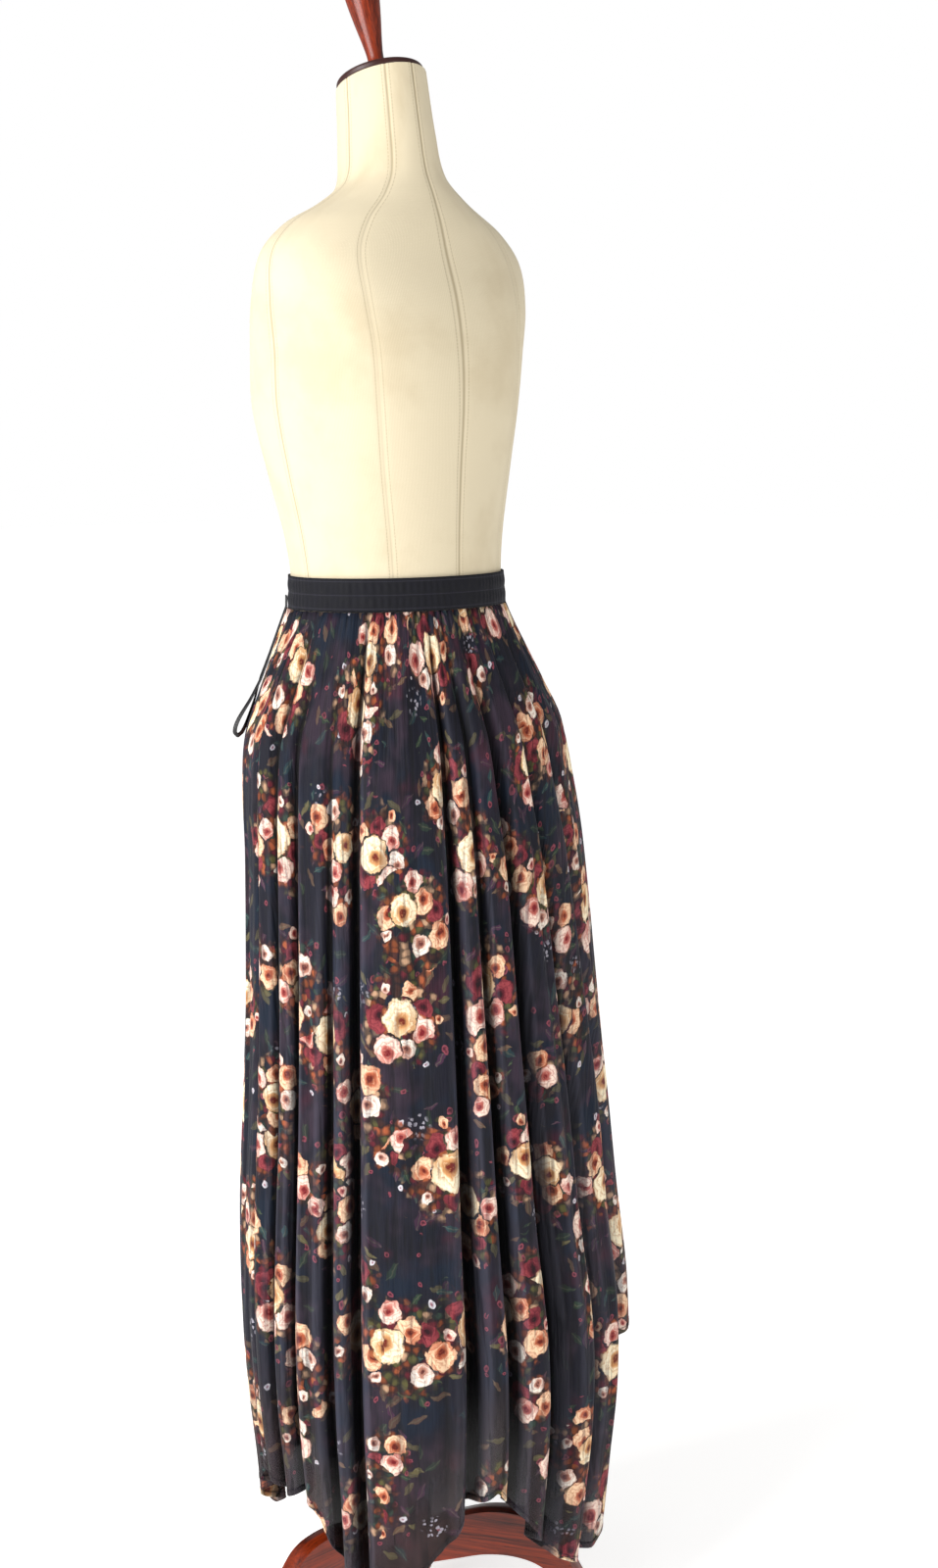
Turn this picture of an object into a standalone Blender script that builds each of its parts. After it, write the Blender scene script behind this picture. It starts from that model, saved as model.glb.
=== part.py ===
"""Handkerchief hem skirt on a dress form: a gathered maxi skirt of printed mesh in two panels,
an elastic waistband and two hanger loops, on a limbless form with a pole and a wooden tripod.

Metres, +Z up. The form faces -Y and its left side is +X. Azimuths are in degrees about the
pole: 0 is the front (-Y), 90 the left side (+X), 180 the back and 270 the right side.
"""

import math

import bmesh
import bpy
from mathutils import Vector

# The pole's place, which puts the origin under the middle of the whole object
STAND_X, STAND_Y = -0.0103, -0.0195

GAP = 0.0003  # between touching pieces
SHARP_CORNER = math.radians(45)  # corners past this look sharp

# Skirt
WAIST_HEIGHT = 1.130  # the seam under the waistband
CLOTH_THICKNESS = 0.0016
PANEL_COLUMNS, PANEL_ROWS = 90, 9
ROW_CROWDING = 1.3  # over 1 puts more rows near the waist
SEAM_LEFT, SEAM_RIGHT = 90.0, 270.0

# A row for each height: the skirt's outer section, half its width, its depth over its width,
# and how far its middle is set back from the pole
SKIRT_SECTIONS = (
    # height, half_width, depth_ratio, set_back
    (1.130, 0.1280, 0.785, 0.0040),
    (1.085, 0.1500, 0.775, 0.0080),
    (1.042, 0.1710, 0.765, 0.0120),
    (1.000, 0.1895, 0.760, 0.0165),
    (0.940, 0.1955, 0.780, 0.0215),
    (0.875, 0.1970, 0.810, 0.0280),
    (0.725, 0.2020, 0.860, 0.0350),
    (0.615, 0.2075, 0.900, 0.0375),
    (0.500, 0.2150, 0.920, 0.0400),
    (0.390, 0.2195, 0.940, 0.0480),
    (0.300, 0.2165, 0.940, 0.0525),
    (0.210, 0.2070, 0.940, 0.0530),
    (0.090, 0.1960, 0.940, 0.0500),
)

# A row for each fold: the azimuth of its trough, half the trough's width and its full depth
FOLDS = (
    # azimuth, half_width, depth
    (7.0, 6.0, 0.013),
    (20.0, 5.5, 0.018),
    (31.0, 5.0, 0.012),
    (44.0, 5.5, 0.016),
    (63.0, 6.0, 0.012),
    (73.5, 5.0, 0.016),
    (97.0, 5.0, 0.009),
    (105.0, 4.5, 0.015),
    (117.0, 4.5, 0.012),
    (124.5, 5.0, 0.017),
    (155.0, 5.5, 0.021),
    (164.5, 4.5, 0.013),
    (176.0, 5.5, 0.020),
    (194.0, 6.0, 0.015),
    (211.0, 7.0, 0.024),
    (235.5, 9.0, 0.030),
    (251.0, 5.0, 0.015),
    (262.0, 4.5, 0.016),
    (282.0, 6.0, 0.018),
    (294.0, 4.5, 0.012),
    (307.0, 6.0, 0.019),
    (322.0, 4.5, 0.012),
    (334.0, 6.0, 0.018),
    (349.0, 5.0, 0.015),
)
FOLD_RAMP = 0.24  # distance down the cloth over which the folds deepen
GATHERS = 28
GATHER_UNEVEN = 0.65  # radians that the gathers drift to and fro, not at the seams
GATHER_DRIFTS = 6
SEAM_CALM = 6.0  # degrees each side of a seam over which the gathers die away
GATHER_DEPTH = 0.0045
GATHER_SEAM_DEPTH = 0.0010
GATHER_REACH = 0.050  # distance down the cloth where they are deepest

# A row for each turn of the hem: its points hang low and its edges run straight between them,
# and a flap's square corner stands high at the back right
HEM = (
    # azimuth, height
    (8.0, 0.125),
    (20.0, 0.175),
    (36.0, 0.205),
    (53.0, 0.146),
    (61.0, 0.130),
    (73.0, 0.172),
    (88.0, 0.222),
    (97.0, 0.202),
    (106.0, 0.213),
    (113.5, 0.200),
    (117.5, 0.145),
    (128.0, 0.092),
    (136.0, 0.125),
    (144.0, 0.166),
    (151.0, 0.200),
    (160.0, 0.236),
    (166.0, 0.209),
    (174.0, 0.166),
    (182.0, 0.128),
    (190.0, 0.112),
    (200.0, 0.113),
    (206.0, 0.128),
    (209.5, 0.200),
    (212.0, 0.328),
    (222.0, 0.340),
    (228.0, 0.328),
    (231.0, 0.205),
    (241.0, 0.145),
    (250.0, 0.115),
    (262.0, 0.165),
    (272.0, 0.215),
    (281.0, 0.240),
    (290.0, 0.222),
    (300.0, 0.165),
    (310.0, 0.120),
    (320.0, 0.165),
    (330.0, 0.205),
    (340.0, 0.220),
    (352.0, 0.175),
)

# Waistband: a flat elastic in a casing
BAND_HEIGHT = 0.034
BAND_THICKNESS = 0.0026
BAND_COLUMNS = 84
BAND_CLEARANCE = 0.0006  # to the form inside it
BAND_RIBS, BAND_RIB_DEPTH = 28, 0.0008

# Hanger loops
LOOP_AZIMUTHS = {"hanger_loop_left": 57.0, "hanger_loop_right": 303.0}
LOOP_RADIUS = 0.0011
LOOP_ON_BAND = 0.012  # how far up the waistband a loop is sewn
LOOP_STEPS = 13  # points down each strand
LOOP_ROUTE = (
    # down, half_spread, stand_off
    (0.000, 0.0030, 0.0000),
    (0.024, 0.0034, 0.0006),
    (0.064, 0.0046, 0.0012),
    (0.106, 0.0064, 0.0034),
    (0.130, 0.0070, 0.0072),
    (0.143, 0.0044, 0.0094),
    (0.147, 0.0000, 0.0098),
)

# Dress form: a row for each height of the torso and neck. squareness is 2 for an ellipse,
# lean tips the section down at the front, in degrees
FORM_SECTIONS = (
    # height, half_width, half_depth, set_back, squareness, lean
    (0.830, 0.1560, 0.1120, 0.0200, 2.1, 0.0),
    (0.870, 0.1640, 0.1180, 0.0200, 2.1, 0.0),
    (0.930, 0.1680, 0.1200, 0.0180, 2.1, 0.0),
    (0.990, 0.1630, 0.1150, 0.0140, 2.1, 0.0),
    (1.050, 0.1490, 0.1080, 0.0090, 2.1, 0.0),
    (1.105, 0.1290, 0.0990, 0.0050, 2.0, 0.0),
    (1.150, 0.1220, 0.0955, 0.0040, 2.0, 0.0),
    (1.200, 0.1260, 0.0985, 0.0010, 2.0, 0.0),
    (1.270, 0.1380, 0.1080, -0.0050, 2.1, 0.0),
    (1.335, 0.1480, 0.1170, -0.0090, 2.2, 0.0),
    (1.390, 0.1530, 0.1120, -0.0050, 2.3, 0.0),
    (1.440, 0.1620, 0.0980, 0.0010, 2.3, 0.0),
    (1.485, 0.1610, 0.0800, 0.0050, 2.2, 0.0),
    (1.515, 0.1340, 0.0700, 0.0060, 2.1, 2.0),
    (1.538, 0.0900, 0.0620, 0.0040, 2.0, 6.0),
    (1.560, 0.0600, 0.0540, 0.0010, 2.0, 11.0),
    (1.600, 0.0510, 0.0500, -0.0040, 2.0, 17.0),
    (1.662, 0.0465, 0.0465, -0.0110, 2.0, 17.0),
)
FORM_COLUMNS, FORM_STEPS = 36, 2  # FORM_STEPS rows of the mesh for each row above
NECK_LEAN = math.radians(FORM_SECTIONS[-1][5])

CAP_RADIUS, CAP_HEIGHT, CAP_BEVEL = 0.0455, 0.008, 0.0015
FINIAL_PROFILE = (
    # radius, height above the cap
    (0.0000, 0.1200),
    (0.0090, 0.1180),
    (0.0155, 0.1110),
    (0.0185, 0.1000),
    (0.0178, 0.0840),
    (0.0145, 0.0600),
    (0.0105, 0.0360),
    (0.0085, 0.0200),
    (0.0095, 0.0120),
    (0.0135, 0.0070),
    (0.0145, 0.0030),
    (0.0140, 0.0000),
    (0.0000, 0.0000),
)
TURNED_STEPS = 20

# Stand
POLE_RADIUS = 0.014
HUB_BOTTOM = 0.030
HUB_PROFILE = (
    # radius, height above the hub's bottom
    (0.0000, 0.1100),
    (0.0190, 0.1100),
    (0.0225, 0.1060),
    (0.0225, 0.0980),
    (0.0185, 0.0900),
    (0.0200, 0.0780),
    (0.0270, 0.0680),
    (0.0270, 0.0060),
    (0.0220, 0.0000),
    (0.0000, 0.0000),
)
HUB_SIDE = 0.0270  # the hub's radius where the legs meet it
LEG_AZIMUTHS = {"leg_left": 90.0, "leg_back": 210.0, "leg_front": 330.0}
LEG_THICKNESS = 0.026
LEG_STEPS = 4  # points on each stretch between the rows below
LEG_PROFILE = (
    # reach, top, bottom
    (HUB_SIDE + GAP, 0.0920, 0.0420),
    (0.0600, 0.1050, 0.0520),
    (0.0950, 0.1160, 0.0620),
    (0.1300, 0.1180, 0.0640),
    (0.1600, 0.1090, 0.0560),
    (0.1840, 0.0820, 0.0350),
    (0.2020, 0.0520, 0.0110),
    (0.2100, 0.0390, 0.0000),
    (0.2280, 0.0200, 0.0000),
    (0.2400, 0.0110, 0.0000),
)


def direction(azimuth):
    """The level unit vector that points to an azimuth in degrees."""
    angle = math.radians(azimuth)
    return Vector((math.sin(angle), -math.cos(angle), 0.0))


def blend(rows, at):
    """A table's other columns at a value of its first, on a smooth curve through its rows."""
    rows = sorted(rows)
    if at <= rows[0][0]:
        return rows[0][1:]
    if at >= rows[-1][0]:
        return rows[-1][1:]
    i = next(n for n, row in enumerate(rows) if row[0] > at) - 1
    before, low, high, after = rows[max(i - 1, 0)], rows[i], rows[i + 1], rows[min(i + 2, len(rows) - 1)]
    span = high[0] - low[0]
    t = (at - low[0]) / span
    values = []
    for k in range(1, len(low)):
        slope_low = span * (high[k] - before[k]) / (high[0] - before[0])
        slope_high = span * (after[k] - low[k]) / (after[0] - low[0])
        values.append(
            (2 * t**3 - 3 * t**2 + 1) * low[k]
            + (t**3 - 2 * t**2 + t) * slope_low
            + (3 * t**2 - 2 * t**3) * high[k]
            + (t**3 - t**2) * slope_high
        )
    return tuple(values)


def degrees_between(azimuth, other):
    """How far one azimuth lies past another, from -180 to 180."""
    return (azimuth - other + 180.0) % 360.0 - 180.0


def hem_height(azimuth):
    """The height of the hem, on straight edges between the rows of HEM."""
    azimuth %= 360.0
    rows = (*((a - 360.0, z) for a, z in HEM[-1:]), *HEM, *((a + 360.0, z) for a, z in HEM[:1]))
    for (low, low_z), (high, high_z) in zip(rows, rows[1:]):
        if low <= azimuth <= high:
            return low_z + (high_z - low_z) * (azimuth - low) / (high - low)
    raise ValueError(azimuth)


def ellipse_radius(azimuth, half_width, half_depth, set_back):
    """The distance from the pole to an ellipse whose middle lies set_back behind it."""
    way = direction(azimuth)
    a = (way.x / half_width) ** 2 + (way.y / half_depth) ** 2
    b = -2.0 * way.y * set_back / half_depth**2
    c = (set_back / half_depth) ** 2 - 1.0
    return (-b + math.sqrt(b * b - 4.0 * a * c)) / (2.0 * a)


def skirt_ridge_radius(azimuth, height):
    """The distance from the pole to the skirt's outer section, over the tops of its folds."""
    half_width, depth_ratio, set_back = blend(SKIRT_SECTIONS, height)
    return ellipse_radius(azimuth, half_width, half_width * depth_ratio, set_back)


def fold_depth(azimuth, down):
    """How far the troughs take the cloth in, at a distance down from the waist."""
    depth = 0.0
    for trough, half_width, full_depth in FOLDS:
        off = abs(degrees_between(azimuth, trough)) / half_width
        if off < 1.0:
            depth += full_depth * math.cos(off * math.pi / 2.0) ** 2
    return depth * (1.0 - math.exp(-down / FOLD_RAMP))


def gather_depth(azimuth, down):
    """How far the small gathers under the waistband take the cloth in."""
    angle = math.radians(azimuth)
    wave = 0.5 - 0.5 * math.cos(GATHERS * angle + GATHER_UNEVEN * math.sin(GATHER_DRIFTS * angle))
    from_seam = min(abs(degrees_between(azimuth, seam)) for seam in (SEAM_LEFT, SEAM_RIGHT))
    calm = 1.0 - math.exp(-((from_seam / SEAM_CALM) ** 2))
    reach = down / GATHER_REACH
    return calm * wave * (GATHER_DEPTH * reach * math.exp(1.0 - reach) + GATHER_SEAM_DEPTH * math.exp(-reach))


def skirt_point(azimuth, height):
    """A point on the skirt's outer face."""
    down = WAIST_HEIGHT - height
    radius = skirt_ridge_radius(azimuth, height) - fold_depth(azimuth, down) - gather_depth(azimuth, down)
    return direction(azimuth) * radius + Vector((0.0, 0.0, height))


def form_point(azimuth, row, clearance=0.0):
    """A point on a section of the form, a row of FORM_SECTIONS, or clear of it by a distance."""
    height, half_width, half_depth, set_back, squareness, lean = row
    way = direction(azimuth)
    power = 2.0 / squareness
    across = math.copysign(abs(way.x) ** power, way.x) * (half_width + clearance)
    along = math.copysign(abs(way.y) ** power, way.y) * (half_depth + clearance)
    return Vector((across, set_back + along, height + along * math.tan(math.radians(lean))))


def material(name, colour, roughness, metallic=0.0):
    """A plain material for the piece it is given to."""
    made = bpy.data.materials.new(name)
    made.use_nodes = True
    shader = made.node_tree.nodes["Principled BSDF"]
    shader.inputs["Base Color"].default_value = (*colour, 1.0)
    shader.inputs["Roughness"].default_value = roughness
    shader.inputs["Metallic"].default_value = metallic
    return made


def add_object(name, data, look, stand, collection):
    """Puts a named object with its material under the stand's empty."""
    made = bpy.data.objects.new(name, data)
    data.materials.append(look)
    made.parent = stand
    collection.objects.link(made)
    return made


def add_mapped_grid(name, columns, rows, place, look, stand, collection, closed=False):
    """A grid whose points place(u, v) puts in space, with u and v from 0 to 1. A closed one
    is a tube whose two sides are welded."""
    bm = bmesh.new()
    bmesh.ops.create_grid(bm, x_segments=columns, y_segments=rows, size=1.0)
    for vertex in bm.verts:
        vertex.co = place((vertex.co.x + 1.0) / 2.0, (vertex.co.y + 1.0) / 2.0)
    if closed:
        bmesh.ops.remove_doubles(bm, verts=bm.verts, dist=0.00001)
    mesh = bpy.data.meshes.new(name)
    bm.to_mesh(mesh)
    bm.free()
    mesh.shade_smooth()
    return add_object(name, mesh, look, stand, collection)


def thicken(piece, thickness):
    """Gives an open surface its thickness, inward from its outer face."""
    solidify = piece.modifiers.new("Thickness", "SOLIDIFY")
    solidify.thickness = thickness
    solidify.offset = -1.0
    solidify.use_even_offset = False


def add_skirt_panel(name, start, end, look, stand, collection):
    """A panel of the skirt between two seams, from the hem up to the waistband."""

    def place(u, v):
        azimuth = start + (end - start) * u
        down = (1.0 - v) ** ROW_CROWDING
        top = WAIST_HEIGHT - GAP
        point = skirt_point(azimuth, top + (hem_height(azimuth) - top) * down)
        if u in (0.0, 1.0):
            inward = direction(azimuth + (90.0 if u == 0.0 else -90.0))
            point += inward * GAP / 2.0
        return point

    panel = add_mapped_grid(name, PANEL_COLUMNS, PANEL_ROWS, place, look, stand, collection)
    thicken(panel, CLOTH_THICKNESS)


def add_waistband(look, stand, collection):
    """The elastic casing round the form's waist."""

    def place(u, v):
        azimuth = 360.0 * u
        row = (WAIST_HEIGHT + BAND_HEIGHT * v, *blend(FORM_SECTIONS, WAIST_HEIGHT + BAND_HEIGHT * v))
        rib = BAND_RIB_DEPTH * (0.5 + 0.5 * math.cos(math.radians(BAND_RIBS * azimuth)))
        return form_point(azimuth, row, BAND_CLEARANCE + BAND_THICKNESS + rib)

    band = add_mapped_grid("waistband", BAND_COLUMNS, 2, place, look, stand, collection, closed=True)
    thicken(band, BAND_THICKNESS)


def loop_points(azimuth):
    """The route of a hanger loop: down in front of the cloth, round, and up again."""
    way, across = direction(azimuth), direction(azimuth + 90.0)
    lift = BAND_CLEARANCE + BAND_THICKNESS + BAND_RIB_DEPTH + GAP + LOOP_RADIUS
    strand = []
    for i in range(LOOP_STEPS + 1):
        down = LOOP_ROUTE[-1][0] * math.sin(0.5 * math.pi * i / LOOP_STEPS)
        half_spread, stand_off = blend(LOOP_ROUTE, down)
        height = WAIST_HEIGHT + LOOP_ON_BAND - down
        half_width, half_depth, set_back, *_ = blend(FORM_SECTIONS, height)
        on_band = ellipse_radius(azimuth, half_width + lift, half_depth + lift, set_back)
        on_cloth = skirt_ridge_radius(azimuth, height) + GAP + LOOP_RADIUS + stand_off
        radius = max(on_band, on_cloth)
        strand.append((way * radius + Vector((0.0, 0.0, height)), across * half_spread))
    return [p - a for p, a in strand] + [p + a for p, a in reversed(strand[:-1])]


def add_hanger_loop(name, azimuth, look, stand, collection):
    """A loop of thin cord that is sewn to the waistband and hangs outside the skirt."""
    curve = bpy.data.curves.new(name, "CURVE")
    curve.dimensions = "3D"
    curve.bevel_depth = LOOP_RADIUS
    curve.bevel_resolution = 1
    curve.use_fill_caps = True
    route = loop_points(azimuth)
    spline = curve.splines.new("POLY")
    spline.points.add(len(route) - 1)
    for point, place in zip(spline.points, route):
        point.co = (*place, 1.0)
    add_object(name, curve, look, stand, collection)


def add_form(look, stand, collection):
    """The limbless torso and neck, closed at both ends."""

    rows = (len(FORM_SECTIONS) - 1) * FORM_STEPS

    def place(u, v):
        lower, step = divmod(round(v * rows), FORM_STEPS)
        height = FORM_SECTIONS[lower][0]
        if step:
            height += (FORM_SECTIONS[lower + 1][0] - height) * step / FORM_STEPS
        return form_point(360.0 * u, (height, *blend(FORM_SECTIONS, height)))

    form = add_mapped_grid("form_torso", FORM_COLUMNS, rows, place, look, stand, collection, closed=True)
    bm = bmesh.new()
    bm.from_mesh(form.data)
    bmesh.ops.holes_fill(bm, edges=[e for e in bm.edges if e.is_boundary], sides=0)
    bmesh.ops.recalc_face_normals(bm, faces=bm.faces)
    bm.to_mesh(form.data)
    bm.free()
    form.data.set_sharp_from_angle(angle=SHARP_CORNER)


def add_turned(name, profile, steps, look, stand, collection):
    """A turned piece from its profile, a table of radius and height from the top down."""
    mesh = bpy.data.meshes.new(name)
    bm = bmesh.new()
    line = [bm.verts.new((radius, 0.0, height)) for radius, height in profile]
    for upper, lower in zip(line, line[1:]):
        bm.edges.new((upper, lower))
    bm.to_mesh(mesh)
    bm.free()
    turned = add_object(name, mesh, look, stand, collection)
    screw = turned.modifiers.new("Turn", "SCREW")
    screw.steps = screw.render_steps = steps
    screw.use_merge_vertices = True
    screw.merge_threshold = 0.00001
    screw.use_normal_calculate = True
    return turned


def add_cylinder(name, radius, height, look, stand, collection, bevel=0.0):
    """An upright cylinder that stands on its own origin."""
    bm = bmesh.new()
    bmesh.ops.create_cone(
        bm, cap_ends=True, segments=TURNED_STEPS, radius1=radius, radius2=radius, depth=height
    )
    bmesh.ops.translate(bm, verts=bm.verts, vec=(0.0, 0.0, height / 2.0))
    mesh = bpy.data.meshes.new(name)
    bm.to_mesh(mesh)
    bm.free()
    mesh.shade_smooth()
    mesh.set_sharp_from_angle(angle=SHARP_CORNER)
    cylinder = add_object(name, mesh, look, stand, collection)
    if bevel:
        rounding = cylinder.modifiers.new("Edges", "BEVEL")
        rounding.width = bevel
        rounding.segments = 2
    return cylinder


def add_neck_cap_and_finial(cap_look, wood, stand, collection):
    """The disc that closes the neck and the turned finial on it, both square to the neck."""
    neck = FORM_SECTIONS[-1]
    foot = Vector((0.0, neck[3], neck[0]))
    up = Vector((0.0, -math.sin(NECK_LEAN), math.cos(NECK_LEAN)))
    cap = add_cylinder("neck_cap", CAP_RADIUS, CAP_HEIGHT, cap_look, stand, collection, CAP_BEVEL)
    cap.location = foot + up * GAP
    cap.rotation_euler.x = NECK_LEAN
    finial = add_turned("finial", FINIAL_PROFILE, TURNED_STEPS, wood, stand, collection)
    finial.location = foot + up * (2.0 * GAP + CAP_HEIGHT)
    finial.rotation_euler.x = NECK_LEAN


def leg_outline():
    """The side view of a leg as reach and height: its top edge outward, its underside back."""
    reaches = [row[0] for row in LEG_PROFILE]
    stops = [
        low + (high - low) * step / LEG_STEPS
        for low, high in zip(reaches, reaches[1:])
        for step in range(LEG_STEPS)
    ] + reaches[-1:]
    tops = [(reach, blend(LEG_PROFILE, reach)[0]) for reach in stops]
    flat_from = next(reach for reach, _, bottom in LEG_PROFILE if bottom == 0.0)
    arch = [(reach, max(blend(LEG_PROFILE, reach)[1], 0.0)) for reach in stops if reach < flat_from]
    return tops + [(reaches[-1], 0.0), (flat_from, 0.0)] + arch[::-1]


def add_leg(name, azimuth, look, stand, collection):
    """A carved leg that rises from the hub, arches over and ends in a flat foot."""
    curve = bpy.data.curves.new(name, "CURVE")
    curve.dimensions = "2D"
    curve.fill_mode = "BOTH"
    curve.extrude = LEG_THICKNESS / 2.0
    outline = leg_outline()
    spline = curve.splines.new("POLY")
    spline.points.add(len(outline) - 1)
    for point, (reach, height) in zip(spline.points, outline):
        point.co = (reach, height, 0.0, 1.0)
    spline.use_cyclic_u = True
    leg = add_object(name, curve, look, stand, collection)
    leg.rotation_euler = (math.radians(90.0), 0.0, math.radians(azimuth - 90.0))


def build():
    """Makes the whole part."""
    for old in list(bpy.data.objects):
        bpy.data.objects.remove(old, do_unlink=True)
    collection = bpy.data.collections.new("handkerchief_hem_skirt")
    bpy.context.scene.collection.children.link(collection)
    stand = bpy.data.objects.new("stand_axis", None)
    stand.location = (STAND_X, STAND_Y, 0.0)
    collection.objects.link(stand)

    cloth = material("printed_mesh", (0.030, 0.028, 0.045), 0.75)
    casing = material("casing", (0.012, 0.012, 0.018), 0.80)
    cord = material("loop_cord", (0.006, 0.006, 0.008), 0.55)
    cover = material("form_cover", (0.80, 0.72, 0.58), 0.85)
    cap_look = material("cap_paint", (0.030, 0.012, 0.010), 0.45)
    wood = material("stained_wood", (0.17, 0.035, 0.015), 0.40)

    add_skirt_panel("skirt_front", SEAM_RIGHT - 360.0, SEAM_LEFT, cloth, stand, collection)
    add_skirt_panel("skirt_back", SEAM_LEFT, SEAM_RIGHT, cloth, stand, collection)
    add_waistband(casing, stand, collection)
    for name, azimuth in LOOP_AZIMUTHS.items():
        add_hanger_loop(name, azimuth, cord, stand, collection)
    add_form(cover, stand, collection)
    add_neck_cap_and_finial(cap_look, wood, stand, collection)

    hub = add_turned("base_hub", HUB_PROFILE, TURNED_STEPS, wood, stand, collection)
    hub.location.z = HUB_BOTTOM
    pole_foot = HUB_BOTTOM + HUB_PROFILE[0][1] + GAP
    pole_top = FORM_SECTIONS[0][0] - GAP
    pole = add_cylinder("pole", POLE_RADIUS, pole_top - pole_foot, wood, stand, collection)
    pole.location.z = pole_foot
    for name, azimuth in LEG_AZIMUTHS.items():
        add_leg(name, azimuth, wood, stand, collection)


build()
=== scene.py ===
"""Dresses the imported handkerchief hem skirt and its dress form: printed mesh panels with their
folds, hems and seams, the waistband and hanger loops, the covered form, its turned wood and
tripod, and a plain studio.

Metres, +Z up. The form faces -Y and its left side is +X. Azimuths are in degrees about the
pole: 0 is the front (-Y), 90 the left side (+X), 180 the back and 270 the right side.
"""

import math
from functools import lru_cache

import bmesh
import bpy
from bpy.props import FloatProperty, FloatVectorProperty, IntProperty, PointerProperty
from bpy.types import Operator, Panel, PropertyGroup
from mathutils import Matrix, Vector, noise


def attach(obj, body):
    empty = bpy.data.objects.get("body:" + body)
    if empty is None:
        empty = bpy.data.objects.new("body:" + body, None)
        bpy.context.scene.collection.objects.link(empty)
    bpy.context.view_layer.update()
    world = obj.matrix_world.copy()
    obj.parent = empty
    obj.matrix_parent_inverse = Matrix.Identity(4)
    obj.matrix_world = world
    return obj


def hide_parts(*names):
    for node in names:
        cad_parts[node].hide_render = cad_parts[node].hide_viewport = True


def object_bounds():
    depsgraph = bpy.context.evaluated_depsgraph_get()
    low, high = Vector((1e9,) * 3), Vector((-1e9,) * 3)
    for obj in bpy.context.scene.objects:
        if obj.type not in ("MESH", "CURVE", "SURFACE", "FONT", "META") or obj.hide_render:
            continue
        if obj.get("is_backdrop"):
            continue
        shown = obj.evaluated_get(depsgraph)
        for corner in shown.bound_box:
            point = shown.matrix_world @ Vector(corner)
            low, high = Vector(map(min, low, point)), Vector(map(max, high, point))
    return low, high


bl_info = {
    "name": "Handkerchief Hem Skirt",
    "version": (1, 0, 0),
    "blender": (4, 5, 0),
    "location": "View3D > Sidebar > Skirt",
    "description": "Dresses a packed handkerchief hem skirt and its dress form",
    "category": "Object",
}

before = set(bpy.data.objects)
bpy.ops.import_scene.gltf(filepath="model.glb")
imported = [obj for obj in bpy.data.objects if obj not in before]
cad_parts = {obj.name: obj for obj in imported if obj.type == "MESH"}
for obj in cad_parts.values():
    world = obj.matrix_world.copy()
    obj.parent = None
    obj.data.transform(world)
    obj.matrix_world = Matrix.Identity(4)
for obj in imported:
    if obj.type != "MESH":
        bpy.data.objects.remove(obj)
CAD_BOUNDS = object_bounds()
BODY = "root"

# The pole's place in the frame
STAND = Vector((-0.0103, -0.0195, 0.0))

GAP = 0.0003  # between touching pieces
WELD = 0.00001  # distance within which points are joined

# Skirt, as in the part
WAIST_HEIGHT = 1.130
SEAM_LEFT, SEAM_RIGHT = 90.0, 270.0
SKIRT_SECTIONS = (
    # height, half_width, depth_ratio, set_back
    (1.130, 0.1280, 0.785, 0.0040),
    (1.085, 0.1500, 0.775, 0.0080),
    (1.042, 0.1710, 0.765, 0.0120),
    (1.000, 0.1895, 0.760, 0.0165),
    (0.940, 0.1955, 0.780, 0.0215),
    (0.875, 0.1970, 0.810, 0.0280),
    (0.725, 0.2020, 0.860, 0.0350),
    (0.615, 0.2075, 0.900, 0.0375),
    (0.500, 0.2150, 0.920, 0.0400),
    (0.390, 0.2195, 0.940, 0.0480),
    (0.300, 0.2165, 0.940, 0.0525),
    (0.210, 0.2070, 0.940, 0.0530),
    (0.090, 0.1960, 0.940, 0.0500),
)

# The main creases: the azimuth of each trough, half its width, its depth and
# how far below the waist it is half as deep
FOLDS = (
    # azimuth, half_width, depth, starts
    (7.0, 6.0, 0.013, 0.16),
    (20.0, 5.5, 0.018, 0.06),
    (31.0, 5.0, 0.012, 0.20),
    (44.0, 5.5, 0.016, 0.09),
    (63.0, 6.0, 0.012, 0.12),
    (73.5, 5.0, 0.016, 0.05),
    (97.0, 5.0, 0.010, 0.04),
    (105.0, 4.5, 0.016, 0.10),
    (117.0, 4.5, 0.013, 0.16),
    (124.5, 5.0, 0.017, 0.05),
    (155.0, 5.0, 0.019, 0.05),
    (165.0, 5.0, 0.017, 0.12),
    (178.0, 7.0, 0.024, 0.08),
    (194.0, 6.5, 0.020, 0.12),
    (211.0, 7.0, 0.024, 0.10),
    (235.5, 9.0, 0.030, 0.14),
    (251.0, 5.0, 0.015, 0.06),
    (262.0, 4.5, 0.016, 0.15),
    (282.0, 6.0, 0.018, 0.08),
    (294.0, 4.5, 0.012, 0.18),
    (307.0, 6.0, 0.019, 0.06),
    (322.0, 4.5, 0.012, 0.16),
    (334.0, 6.0, 0.018, 0.07),
    (349.0, 5.0, 0.015, 0.12),
)

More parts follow.
